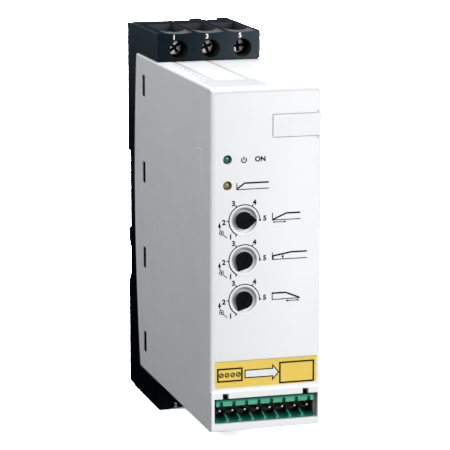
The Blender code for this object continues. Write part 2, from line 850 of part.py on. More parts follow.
def terminal_housings():
    """The parts of the blocks that hang inside the cover."""
    front = BLOCK_FRONT_Y + HOUSING_SETBACK
    rear = CELL_BACK_Y + CELL_WALL + WALL
    return join_objects([side_box("housing", side, -CORE_HALF, CORE_HALF, front, rear,
                                  HOUSING_LOW, BLOCK_LOW + BLOCK_HEIGHT / 2)
                         for side in (1, -1)], "terminal_housings")


def rear_pockets():
    """The tray's room behind the blocks, up to the outer skin."""
    half = TRAY_HALF
    front, rear = CELL_BACK_Y + CELL_WALL, BACK_Y - BACK_WALL
    high = level(1, BLOCK_HIGH - CORE_WALL)
    low = level(-1, BLOCK_HIGH - CORE_WALL)
    upper = box("upper_pocket", (-half, front, RAIL_HEIGHT / 2 + BACK_WALL), (half, rear, high))
    lower = box("lower_pocket", (-half, front, low),
                (half, rear, -HOLLOW_END - HOLLOW_SLOPE - BACK_WALL))
    return join_objects([upper, lower], "rear_pockets")


def clip_boss():
    """Inner thickening behind the clip's channel."""
    half = CLIP_TONGUE_WIDTH / 2 + GAP + CORE_WALL
    deep = CLIP_THICKNESS + CORE_WALL
    low = CLIP_TAIL - CLIP_SPRING_ROOM - CORE_WALL
    return box("clip_boss", (-half, -deep, low), (half, -GAP, SEAT_LOW + CORE_WALL))


def clip_channel():
    half = CLIP_TONGUE_WIDTH / 2 + GAP
    return box("clip_channel", (-half, -CLIP_THICKNESS, CLIP_TAIL - CLIP_SPRING_ROOM),
               (half, OVER, SEAT_LOW))


def clip_guides():
    """Two angled lips that hold the clip's tongue in its channel."""
    inner = CLIP_TONGUE_WIDTH / 2 + GAP
    high = CLIP_TOP - GUIDE_DROP
    thick = clip_face() + GAP + GUIDE_THICKNESS
    guides = []
    for side in (1, -1):
        corners = [(inner, -GAP), (inner + GUIDE_WIDTH / 2, -GAP),
                   (inner + GUIDE_WIDTH / 2, thick), (inner - GUIDE_WIDTH / 2, thick),
                   (inner - GUIDE_WIDTH / 2, clip_face() + GAP), (inner, clip_face() + GAP)]
        guide = outline("guide", [[(side * x, y) for x, y in corners]], GUIDE_LENGTH)
        guide.location.z = high - GUIDE_LENGTH / 2
        guides.append(guide)
    return join_objects(guides, "clip_guides")


def clip_face():
    """How far the tongue's outer face stands behind the seat's floor."""
    return RAIL_POCKET - 2 * GAP


def latch_hooks():
    """Snap hooks on the tray's sides, sloped on the side from which the cover comes."""
    y = LATCH_Y
    reach = CASE_WIDTH / 2 - GAP / 2
    root = CORE_HALF - CORE_WALL / 2
    front, rear = y - LATCH_WIDTH / 2 + GAP, y + LATCH_WIDTH / 2 - GAP
    crest = front + LATCH_WIDTH / 3
    corners = [(root, front), (CORE_HALF, front), (reach, crest), (reach, rear), (root, rear)]
    hooks = []
    for side in (1, -1):
        for i in range(LATCH_COUNT):
            hook = outline("hook", [[(side * x, depth) for x, depth in corners]],
                           LATCH_LENGTH - 2 * GAP)
            hook.location.z = latch_z(i)
            hooks.append(hook)
    return join_objects(hooks, "latch_hooks")


def each_pole():
    """Every terminal as (side, pole, x), the upper row first."""
    return [(side, pole, pole_x(pole)) for side in (1, -1) for pole in range(POLE_COUNT)]


def terminal_cells():
    half = CELL_WIDTH / 2
    return join_objects([side_box("cell", side, x - half, x + half, CELL_FRONT_Y, CELL_BACK_Y,
                                  CELL_LOW, BLOCK_HIGH + OVER)
                         for side, pole, x in each_pole()], "terminal_cells")


def pole_troughs():
    """A shallow rounded valley along each pole, over the block's outer face."""
    troughs = []
    start, end = BLOCK_FRONT_Y - OVER, BLOCK_FRONT_Y + TROUGH_END
    half = (POLE_PITCH - SLIT_WIDTH) / 2
    for side, pole, x in each_pole():
        top, low = level(side, BLOCK_HIGH), level(side, BLOCK_HIGH - TROUGH_DEPTH)
        valley = arc_through((x - half, top), (x, low), (x + half, top), 8)
        out = level(side, BLOCK_HIGH + OVER)
        loop = [(x - half, out)] + valley + [(x + half, out)]
        trough = outline("trough", [loop], end - start)
        troughs.append(face_front(trough, 0, (start + end) / 2, 0))
    return join_objects(troughs, "pole_troughs")


def cell_scoops():
    """A shallow rounded lead-in at the front of each wire entry."""
    scoops = []
    for side, pole, x in each_pole():
        bpy.ops.mesh.primitive_cylinder_add(vertices=32, radius=1, depth=2 * SCOOP_SINK,
                                            location=(x, CELL_FRONT_Y, level(side, BLOCK_HIGH)))
        scoop = bpy.context.object
        for vertex in scoop.data.vertices:
            vertex.co.x *= CELL_WIDTH / 2 - GAP / 2
            vertex.co.y *= SCOOP_REACH
        move_to(scoop, parts)
        scoops.append(scoop)
    return join_objects(scoops, "cell_scoops")


def driver_wells():
    radius = SCREW_HEAD_RADIUS + DRIVER_CLEARANCE
    return join_objects([rod("driver_well", radius, BLOCK_FRONT_Y - OVER, SHELF_Y,
                             x, level(side, SCREW_LEVEL)) for side, pole, x in each_pole()],
                        "driver_wells")


def shank_holes():
    return join_objects([rod("shank_hole", SCREW_SHANK_RADIUS + GAP, SHELF_Y - OVER,
                             CELL_FRONT_Y + OVER, x, level(side, SCREW_LEVEL), 24)
                         for side, pole, x in each_pole()], "shank_holes")


def bar_slots():
    half = BAR_HALF + GAP
    return join_objects([side_box("bar_slot", side, x - half, x + half, BAR_FRONT_Y - GAP,
                                  BAR_BACK_Y + GAP, HOUSING_LOW - OVER, CELL_LOW + OVER)
                         for side, pole, x in each_pole()], "bar_slots")


def shroud_slits():
    """Narrow slits between and beside the poles, which take a clip-on shroud."""
    slits = []
    start = BLOCK_FRONT_Y + SLIT_START
    for side in (1, -1):
        for i in range(POLE_COUNT + 1):
            x = POLE_SHIFT + (i - POLE_COUNT / 2) * POLE_PITCH
            slits.append(side_box("slit", side, x - SLIT_WIDTH / 2, x + SLIT_WIDTH / 2, start,
                                  start + SLIT_LENGTH, BLOCK_HIGH - SLIT_DEPTH,
                                  BLOCK_HIGH + OVER))
    return join_objects(slits, "shroud_slits")


def rear_notches():
    """Each block's skin lies lower at the rear, but for two lugs near the right end."""
    lug = POLE_SHIFT + POLE_PITCH / 2
    spans = ((-BASE_HALF - OVER, lug - NOTCH_BUMP_HALF),
             (lug + NOTCH_BUMP_HALF, BASE_HALF - NOTCH_END))
    return join_objects([side_box("rear_notch", side, left, right, BACK_Y - NOTCH_LENGTH,
                                  BACK_Y + OVER, BLOCK_HIGH - NOTCH_DEPTH, BLOCK_HIGH + OVER)
                         for side in (1, -1) for left, right in spans], "rear_notches")


def make_rear_base():
    base = base_profile()
    add(base, base_core())
    cut(base, core_hollow())
    add(base, terminal_housings())
    add(base, clip_boss())
    add(base, latch_hooks())
    add(base, clip_guides())
    cut(base, rear_pockets())
    cut(base, pole_troughs())
    cut(base, terminal_cells())
    cut(base, cell_scoops())
    cut(base, driver_wells())
    cut(base, shank_holes())
    cut(base, bar_slots())
    cut(base, shroud_slits())
    cut(base, rear_notches())
    cut(base, clip_channel())
    smooth(base)
    finish_base_black(base)


# Rail clip


def make_rail_clip():
    """The sliding clip: a full-width hooked nose on a narrow tongue."""
    nose = [(GAP, CLIP_TOP), (RAIL_POCKET - GAP, CLIP_TOP),
            (RAIL_POCKET - GAP, CLIP_TOP + RAIL_LIP_DROP + GAP),
            (CLIP_NOSE_REACH - CLIP_NOSE_ROUND, CLIP_TOP + RAIL_LIP_DROP + GAP),
            (CLIP_NOSE_REACH, CLIP_TOP + RAIL_LIP_DROP + GAP - CLIP_NOSE_ROUND),
            (CLIP_NOSE_REACH, CLIP_TOP + RAIL_LIP_DROP + GAP - CLIP_NOSE_FLAT),
            (GAP, CLIP_TOP + RAIL_LIP_DROP + GAP - CLIP_NOSE_FLAT - CLIP_NOSE_SLOPE)]
    clip = face_side(outline("rail_clip", [nose], 2 * BASE_HALF), 0)
    half = CLIP_TONGUE_WIDTH / 2
    tongue = box("tongue", (-half, -CLIP_THICKNESS + GAP, CLIP_TAIL),
                 (half, clip_face(), CLIP_TOP - GAP))
    add(clip, tongue)
    slot_high = CLIP_TAIL + 2 * CLIP_THICKNESS / 2
    cut(clip, box("pull_slot", (-CLIP_THICKNESS, -CLIP_THICKNESS / 3, CLIP_TAIL + WALL / 2),
                  (CLIP_THICKNESS, BACK_Y, slot_high)))
    finish_base_black(clip)


def make_clip_spring():
    """The small coil spring under the clip's tongue."""
    low = CLIP_TAIL - CLIP_SPRING_ROOM + GAP + SPRING_WIRE
    high = CLIP_TAIL - GAP - SPRING_WIRE
    per_turn = 10
    count = SPRING_TURNS * per_turn
    curve = bpy.data.curves.new("clip_spring", "CURVE")
    curve.dimensions = "3D"
    curve.bevel_depth = SPRING_WIRE
    curve.bevel_resolution = 1
    curve.use_fill_caps = True
    spline = curve.splines.new("POLY")
    spline.points.add(count)
    for i, point in enumerate(spline.points):
        angle = 2 * pi * i / per_turn
        point.co = (SPRING_RADIUS * cos(angle),
                    -CLIP_THICKNESS / 2 + SPRING_RADIUS * sin(angle),
                    low + (high - low) * i / count, 1)
    spring = curve_to_mesh("clip_spring", curve)
    spring.data.shade_smooth()
    finish_steel(spring)


# Terminals


def terminal_number(side, pole):
    """Supply terminals are odd and load terminals even."""
    return 2 * pole + (1 if side == 1 else 2)


def make_terminal_screw(side, pole, x):
    """A clamp screw, front face first, with a straight slot over a cross recess."""
    top = SCREW_HEAD_RADIUS - SCREW_HEAD_ROUND
    tip = BAR_FRONT_Y - GAP - (SHELF_Y - GAP - SCREW_HEAD_HEIGHT)
    chamfer = SCREW_HEAD_ROUND
    profile = [(0, 0), (top, 0), (SCREW_HEAD_RADIUS, -chamfer),
               (SCREW_HEAD_RADIUS, -SCREW_HEAD_HEIGHT), (SCREW_SHANK_RADIUS, -SCREW_HEAD_HEIGHT),
               (SCREW_SHANK_RADIUS, -tip + chamfer), (SCREW_SHANK_RADIUS - chamfer, -tip),
               (0, -tip)]
    name = f"terminal_screw_{terminal_number(side, pole)}"
    screw = turned(name, profile, 28)
    face_front(screw, x, SHELF_Y - GAP - SCREW_HEAD_HEIGHT, level(side, SCREW_LEVEL))
    turn = radians(37 * terminal_number(side, pole))
    arms = [(2 * SCREW_HEAD_RADIUS + OVER, SCREW_SLOT, SCREW_RECESS * 0.8, turn),
            (SCREW_CROSS, SCREW_SLOT, SCREW_RECESS, turn + pi / 2)]
    for length, width, depth, angle in arms:
        arm = box(name + "_slot", (-length / 2, -width / 2, -depth), (length / 2, width / 2, OVER))
        arm.parent = screw
        arm.rotation_euler.z = angle
        cut(screw, arm)
    smooth(screw)
    finish_steel(screw)


def make_clamp_cage(side, pole, x):
    """The lift clamp: a square ring round the bar, threaded on the screw."""
    rear_of_front = BAR_FRONT_Y - CAGE_CLEAR_FRONT
    front = rear_of_front - CAGE_FRONT
    mouth = BAR_BACK_Y + CAGE_MOUTH
    low, high = SCREW_LEVEL - CAGE_HEIGHT / 2, SCREW_LEVEL + CAGE_HEIGHT / 2
    cage = side_box(f"clamp_cage_{terminal_number(side, pole)}", side, x - CAGE_OUTER,
                    x + CAGE_OUTER, front, mouth + CAGE_REAR, low, high)
    bevel(cage, GAP, 1)
    cut(cage, side_box(cage.name + "_mouth", side, x - CAGE_INNER, x + CAGE_INNER,
                       rear_of_front, mouth, low - OVER, high + OVER))
    cut(cage, rod(cage.name + "_thread", SCREW_SHANK_RADIUS + GAP, front - OVER,
                  rear_of_front + OVER, x, level(side, SCREW_LEVEL), 24))
    smooth(cage)
    finish_steel(cage)


def make_terminal_bar(side, pole, x):
    """The flat conductor from the clamp down to the power board."""
    high = SCREW_LEVEL + BAR_OVER_AXIS
    bar = side_box(f"terminal_bar_{terminal_number(side, pole)}", side, x - BAR_HALF,
                   x + BAR_HALF, BAR_FRONT_Y, BAR_BACK_Y, high - BAR_LENGTH, high)
    bevel(bar, GAP, 1)
    finish_copper(bar)


# Control header


def pin_x(pole):
    return (pole - (HEADER_POLES - 1) / 2) * HEADER_PITCH


def header_profile():
    """The header from the side: a channel open to the front."""
    low, high = up(WINDOW_BOTTOM) + GAP, HEADER_TOP
    front, rear = back(HEADER_SUNK), back(CONTROL_BOARD_Y) - GAP
    inner = rear - HEADER_BACK_WALL
    return [(front, low), (rear, low), (rear, high), (front, high),
            (front, high - HEADER_TOP_WALL), (inner, high - HEADER_TOP_WALL),
            (inner, low + HEADER_LIP + HEADER_RISE), (front, low + HEADER_LIP)]


def header_scoop(x):
    """A cylinder that hollows the sloping lower lip in front of one pin."""
    front, inner = back(HEADER_SUNK), back(CONTROL_BOARD_Y) - GAP - HEADER_BACK_WALL
    chord = (HEADER_PITCH - SCOOP_RIB) / 2
    radius = (chord ** 2 + SCOOP_DEPTH ** 2) / (2 * SCOOP_DEPTH)
    lip = up(WINDOW_BOTTOM) + GAP + HEADER_LIP
    slope = HEADER_RISE / (inner - front)
    rear = inner - SCOOP_DEPTH / 2
    scoop = rod("scoop", radius, 0, 1, x, 0, 32)
    for vertex in scoop.data.vertices:
        place = scoop.matrix_world @ vertex.co
        y = front - OVER if place.y < 0.5 else rear
        place.z += lip + radius - SCOOP_DEPTH + slope * (y - front)
        vertex.co = scoop.matrix_world.inverted() @ Vector((place.x, y, place.z))
    return scoop


def coding_notch(x):
    """A shallow notch with a round top in the upper rail above one pin, open below."""
    half = CODING_WIDTH / 2
    high = HEADER_TOP - CODING_DROP
    low = HEADER_TOP - HEADER_TOP_WALL - OVER
    side = high - 0.9 * half
    loop = [(x - half, low), (x + half, low)] + arc_through(
        (x + half, side), (x, high), (x - half, side), 8)
    notch = outline("coding", [loop], CODING_DEPTH + OVER)
    return face_front(notch, 0, back(HEADER_SUNK) + (CODING_DEPTH - OVER) / 2, 0)


def make_control_header():
    half = WINDOW_HALF - HEADER_SIDE_ROOM
    header = face_side(outline("control_header", [header_profile()], 2 * half), 0)
    inner = back(CONTROL_BOARD_Y) - GAP - HEADER_BACK_WALL
    poles = range(HEADER_POLES)
    scoops = [header_scoop(pin_x(i)) for i in poles]
    coding = [coding_notch(pin_x(i)) for i in poles]
    reach = PIN_SIZE / 2 + GAP
    holes = [box("pin_hole", (pin_x(i) - reach, inner - OVER, up(PIN_UP) - reach),
                 (pin_x(i) + reach, inner + HEADER_BACK_WALL + OVER, up(PIN_UP) + reach))
             for i in poles]
    cut(header, join_objects(scoops[::2], "header_scoops"))
    cut(header, join_objects(scoops[1::2], "header_scoops_between"))
    cut(header, join_objects(coding, "header_coding"))
    cut(header, join_objects(holes, "header_pin_holes"))
    finish(header, (0.03, 0.28, 0.17), 0.40)


def make_header_pin(pole):
    """A square pin with a tapered tip, from the board to just inside the mouth."""
    half = PIN_SIZE / 2
    front, rear = back(PIN_SUNK), back(CONTROL_BOARD_Y) - GAP
    pin = box(f"header_pin_{pole + 1}", (pin_x(pole) - half, front, up(PIN_UP) - half),
              (pin_x(pole) + half, rear, up(PIN_UP) + half))
    bevel(pin, PIN_SIZE / 4, 1)
    finish(pin, (0.75, 0.74, 0.70), 0.25, 1.0)


# Knobs, lamps and trimmers


def pointer_loop():
    """A disc with a small pointer to the right."""
    spread = acos(KNOB_RADIUS / KNOB_POINTER)
    steps = 32
    loop = [(KNOB_POINTER, 0)]
    for i in range(steps + 1):
        angle = spread + (2 * pi - 2 * spread) * i / steps
        loop.append((KNOB_RADIUS * cos(angle), KNOB_RADIUS * sin(angle)))
    return loop


def make_knob(name, index, angle):
    """A setting knob in its well, its stem reaching into the trimmer behind."""
    x, z = across(KNOB_X), knob_z(index)
    knob = outline(name, [pointer_loop()], KNOB_PLATE)
    knob.rotation_euler = (pi / 2, 0, 0)
    face = FACE_Y - KNOB_PROUD
    knob.location = (x, face + KNOB_PLATE / 2, z)
    knob.rotation_euler.rotate_axis("Z", angle)
    bevel(knob, KNOB_PLATE / 4, 1)
    body_end = face + KNOB_PLATE + KNOB_BODY
    stem_end = back(CONTROL_BOARD_Y) - GAP - TRIMMER_DEPTH + TRIMMER_SOCKET - GAP
    add(knob, rod(name + "_body", KNOB_RADIUS - GAP, face + KNOB_PLATE / 2, body_end, x, z))
    add(knob, rod(name + "_stem", KNOB_STEM_RADIUS, body_end - KNOB_BODY / 2, stem_end, x, z, 24))
    slot = box(name + "_slot", (-KNOB_RADIUS * 0.7, -KNOB_SLOT / 2, 0),
               (KNOB_RADIUS * 0.7, KNOB_SLOT / 2, KNOB_PLATE))
    slot.parent = knob
    cut(knob, slot)
    smooth(knob)
    finish(knob, (0.012, 0.013, 0.015), 0.40)


def make_trimmer(index):
    """The potentiometer on the control board that a knob turns."""
    x, z, half = across(KNOB_X), knob_z(index), TRIMMER_SIZE / 2
    rear = back(CONTROL_BOARD_Y) - GAP
    front = rear - TRIMMER_DEPTH
    trimmer = box(f"trimmer_{index + 1}", (x - half, front, z - half), (x + half, rear, z + half))
    cut(trimmer, rod(trimmer.name + "_socket", KNOB_STEM_RADIUS + GAP, front - OVER,
                     front + TRIMMER_SOCKET, x, z, 24))
    finish(trimmer, (0.03, 0.10, 0.30), 0.45)


def make_lamp(name, index, colour):
    """A small round lamp: domed end to the front, flange on the board."""
    front = FACE_Y + LAMP_SUNK
    length = back(CONTROL_BOARD_Y) - GAP - front
    steps = 6
    profile = [(LAMP_RADIUS * sin(pi / 2 * i / steps),
                -LAMP_RADIUS * (1 - cos(pi / 2 * i / steps))) for i in range(steps + 1)]
    flange = LAMP_RADIUS + LAMP_FLANGE
    profile += [(LAMP_RADIUS, -length + 2 * LAMP_FLANGE), (flange, -length + 2 * LAMP_FLANGE),
                (flange, -length), (0, -length)]
    lamp = turned(name, profile, 24)
    face_front(lamp, across(LAMP_X), front, lamp_z(index))
    smooth(lamp)
    finish(lamp, colour, 0.20)


# Boards and what stands on them


def make_control_board():
    half = INNER_HALF - GAP
    y = back(CONTROL_BOARD_Y)
    board = box("control_board", (-half, y, up(CONTROL_BOARD_FOOT)),
                (half, y + BOARD_THICKNESS, COVER_TOP - CONTROL_BOARD_HEAD))
    finish_board(board)


def make_power_board():
    half = TRAY_HALF - GAP
    board = box("power_board", (-half, POWER_BOARD_Y, up(POWER_BOARD_MARGIN)),
                (half, POWER_BOARD_Y + BOARD_THICKNESS, POWER_BOARD_TOP))
    finish_board(board)


def make_logic_board():
    """The board along the left side that links the other two."""
    front = back(CONTROL_BOARD_Y) + BOARD_THICKNESS + GAP
    half = BOARD_THICKNESS / 2
    board = box("logic_board", (LOGIC_BOARD_X - half, front, up(LOGIC_BOARD_FOOT)),
                (LOGIC_BOARD_X + half, POWER_BOARD_Y - GAP, COVER_TOP - LOGIC_BOARD_HEAD))
    finish_board(board)


def make_controller_chip():
    y = back(CASE_DEPTH / 3)
    x = LOGIC_BOARD_X + BOARD_THICKNESS / 2 + GAP
    chip = box("controller_chip", (x, y, MIDDLE_Z),
               (x + CHIP_THICKNESS, y + CHIP_SIZE, MIDDLE_Z + CHIP_SIZE))
    bevel(chip, GAP, 1)
    finish(chip, (0.02, 0.02, 0.02), 0.5)


def relay_room():
    """Left and right ends of the room beside the logic board."""
    return LOGIC_BOARD_X + BOARD_THICKNESS / 2 + RELAY_TO_BOARD, TRAY_HALF - RELAY_MARGIN


def make_bypass_relay(index):
    rear = POWER_BOARD_Y - GAP
    left, right = relay_room()
    width = (right - left - RELAY_SPACING) / 2
    x = left + index * (width + RELAY_SPACING)
    relay = box(f"bypass_relay_{index + 1}", (x, rear - RELAY_DEPTH, RELAY_TOP - RELAY_LENGTH),
                (x + width, rear, RELAY_TOP))
    bevel(relay, GAP * 2)
    smooth(relay)
    finish(relay, (0.02, 0.02, 0.025), 0.35)


def make_filter_capacitor():
    lip = CAPACITOR_RADIUS - GAP * 2
    profile = [(0, 0), (lip, 0), (CAPACITOR_RADIUS, -GAP * 2),
               (CAPACITOR_RADIUS, -CAPACITOR_LENGTH + 6 * GAP),
               (lip, -CAPACITOR_LENGTH + 4 * GAP), (CAPACITOR_RADIUS, -CAPACITOR_LENGTH + 2 * GAP),
               (CAPACITOR_RADIUS, -CAPACITOR_LENGTH), (0, -CAPACITOR_LENGTH)]
    capacitor = turned("filter_capacitor", profile, 28)
    face_front(capacitor, TRAY_HALF - CAPACITOR_MARGIN - CAPACITOR_RADIUS,
               POWER_BOARD_Y - GAP - CAPACITOR_LENGTH, VARISTOR_Z - CAPACITOR_DROP)
    smooth(capacitor)
    finish(capacitor, (0.05, 0.06, 0.10), 0.35)


def make_varistor(index):
    """A coated disc that stands on its rim on the power board."""
    half, radius = VARISTOR_THICKNESS / 2, VARISTOR_RADIUS
    steps = 6
    profile = [(0, half)]
    for i in range(steps + 1):
        turn = pi / 2 - pi * i / steps
        profile.append((radius - half + half * cos(turn), half * sin(turn)))
    profile.append((0, -half))
    disc = turned(f"varistor_{index + 1}", profile, 28)
    disc.rotation_euler = (0, pi / 2, 0)
    left, right = relay_room()
    disc.location = (left + (right - left) * (index + 0.5) / POLE_COUNT,
                     POWER_BOARD_Y - GAP - radius, VARISTOR_Z)
    smooth(disc)
    finish(disc, (0.02, 0.09, 0.32), 0.40)


def make_thyristor_module(index):
    front = POWER_BOARD_Y + BOARD_THICKNESS + GAP
    x = (index - 0.5) * SINK_HALF
    half = (SINK_HALF - MODULE_SPACING) / 2
    high = SINK_TOP - MODULE_DROP
    module = box(f"thyristor_module_{index + 1}", (x - half, front, high - MODULE_LENGTH),
                 (x + half, front + MODULE_DEPTH, high))
    bevel(module, GAP * 2, 1)
    finish(module, (0.02, 0.02, 0.02), 0.45)


def make_heat_sink():
    """An extruded comb: a plate against the modules and fins towards the back wall."""
    half = SINK_HALF
    tip = -BACK_WALL - GAP
    root = SINK_Y + SINK_PLATE
    pitch = (2 * half - FIN_THICKNESS) / (FIN_COUNT - 1)
    comb = []
    for i in reversed(range(FIN_COUNT)):
        left = -half + i * pitch
        comb += [(left + FIN_THICKNESS, root), (left + FIN_THICKNESS, tip), (left, tip),
                 (left, root)]
    loop = [(-half, SINK_Y), (half, SINK_Y)] + comb[1:-1]
    sink = outline("heat_sink", [loop], SINK_TOP - SINK_BOTTOM)
    sink.location.z = (SINK_TOP + SINK_BOTTOM) / 2
    finish(sink, (0.72, 0.73, 0.75), 0.40, 1.0)


def build():
    clear_scene()
    make_rear_base()
    make_cover()
    make_front_sheet()
    make_lower_label()
    make_marker_tag()
    make_rail_clip()
    make_clip_spring()
    for side, pole, x in each_pole():
        make_terminal_screw(side, pole, x)
        make_clamp_cage(side, pole, x)
        make_terminal_bar(side, pole, x)
    make_control_header()
    for pole in range(HEADER_POLES):
        make_header_pin(pole)
    make_knob("start_time_knob", 0, 0)
    make_knob("start_voltage_knob", 1, radians(240))
    make_knob("stop_time_knob", 2, radians(240))
    for index in range(KNOB_COUNT):
        make_trimmer(index)
    for index in range(POLE_COUNT):
        make_varistor(index)
    make_lamp("green_lamp", 0, (0.01, 0.20, 0.14))
    make_lamp("amber_lamp", 1, (0.35, 0.28, 0.05))
    make_control_board()
    make_power_board()
    make_logic_board()
    make_controller_chip()
    for index in range(2):
        make_bypass_relay(index)
        make_thyristor_module(index)
    make_filter_capacitor()
    make_heat_sink()


build()
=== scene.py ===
# Looks of the soft starter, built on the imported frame.
import json
from math import cos, pi, radians, sin

import bmesh
import bpy
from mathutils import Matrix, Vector

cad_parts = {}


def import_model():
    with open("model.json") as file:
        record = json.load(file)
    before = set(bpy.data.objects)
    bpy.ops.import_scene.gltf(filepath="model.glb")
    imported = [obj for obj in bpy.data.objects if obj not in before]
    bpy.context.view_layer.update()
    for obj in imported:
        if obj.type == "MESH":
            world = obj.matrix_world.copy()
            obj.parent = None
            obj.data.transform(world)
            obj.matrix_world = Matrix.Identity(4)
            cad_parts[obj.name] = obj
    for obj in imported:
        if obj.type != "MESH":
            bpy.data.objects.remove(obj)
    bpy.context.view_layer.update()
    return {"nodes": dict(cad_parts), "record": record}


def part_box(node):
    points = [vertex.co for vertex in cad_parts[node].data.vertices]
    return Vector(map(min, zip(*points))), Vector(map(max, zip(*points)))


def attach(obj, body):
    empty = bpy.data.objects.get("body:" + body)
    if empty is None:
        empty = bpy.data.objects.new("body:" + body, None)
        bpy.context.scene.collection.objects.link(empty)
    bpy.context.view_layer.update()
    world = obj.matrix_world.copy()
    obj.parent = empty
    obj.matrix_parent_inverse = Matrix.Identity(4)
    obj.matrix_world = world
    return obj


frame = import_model()
nodes = frame["nodes"]

MM = 0.001

# Places taken from the frame, in metres.
COVER_LOW, COVER_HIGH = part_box("cover")
BASE_LOW, BASE_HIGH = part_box("rear_base")
SHEET_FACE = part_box("front_sheet")[0].y
BLOCK_DEPTH = 50.6 * MM
BLOCK_FRONT = BASE_HIGH.y - BLOCK_DEPTH

# The same in millimetres, for the finishes, which count from the frame's origin.
COVER_LEFT_MM = round(COVER_LOW.x / MM, 1)
COVER_TOP_MM = COVER_HIGH.z / MM
COVER_SKIN = (COVER_LEFT_MM - 0.2, COVER_LEFT_MM + 0.2)
MIDDLE_MM = (COVER_LOW.z + COVER_HIGH.z) / 2 / MM
BLOCK_FRONT_MM = BLOCK_FRONT / MM
SCREW_FACE_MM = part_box("terminal_screw_1")[0].y / MM
PIN_TIP_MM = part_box("header_pin_1")[0].y / MM

# The front's layout, in millimetres from the cover's lower left corner.
COVER_HEIGHT = 134.8
KNOB_X = 13.8
KNOB_PITCH = 15.6
KNOBS = (("start_time", 83.4), ("start_voltage", 67.8), ("stop_time", 52.2))
WELL_RADIUS = 5.3
PIN_PITCH = 5.08

# Edges sharper than so many degrees stay sharp: on the part, and on what is made here.
SHARP = 32
MADE_SHARP = 35

# How far each node's edges are broken, in millimetres.
EDGE = 0.1
EDGES = {"cover": 0.12, "rear_base": 0.15, "rail_clip": 0.2, "front_sheet": 0, "lower_label": 0,
         "clip_spring": 0}

# Print stands just off its face. Line widths and capitals are in millimetres.
PRINT_LIFT = 0.03 * MM
PRINT_DEPTH = 0.02 * MM
AXIS_LINE = 0.34
CURVE_LINE = 0.62
DIAL_LINE = 0.42
SIGN_LINE = 0.40
CAPITALS = 2.1

# Noise has nearly all its values between these two.
NOISE_LOW, NOISE_HIGH = 0.3, 0.7

BLACK = (0, 0, 0, 1)
WHITE = (1, 1, 1, 1)


# Materials. All colours are linear, and all places are in millimetres.


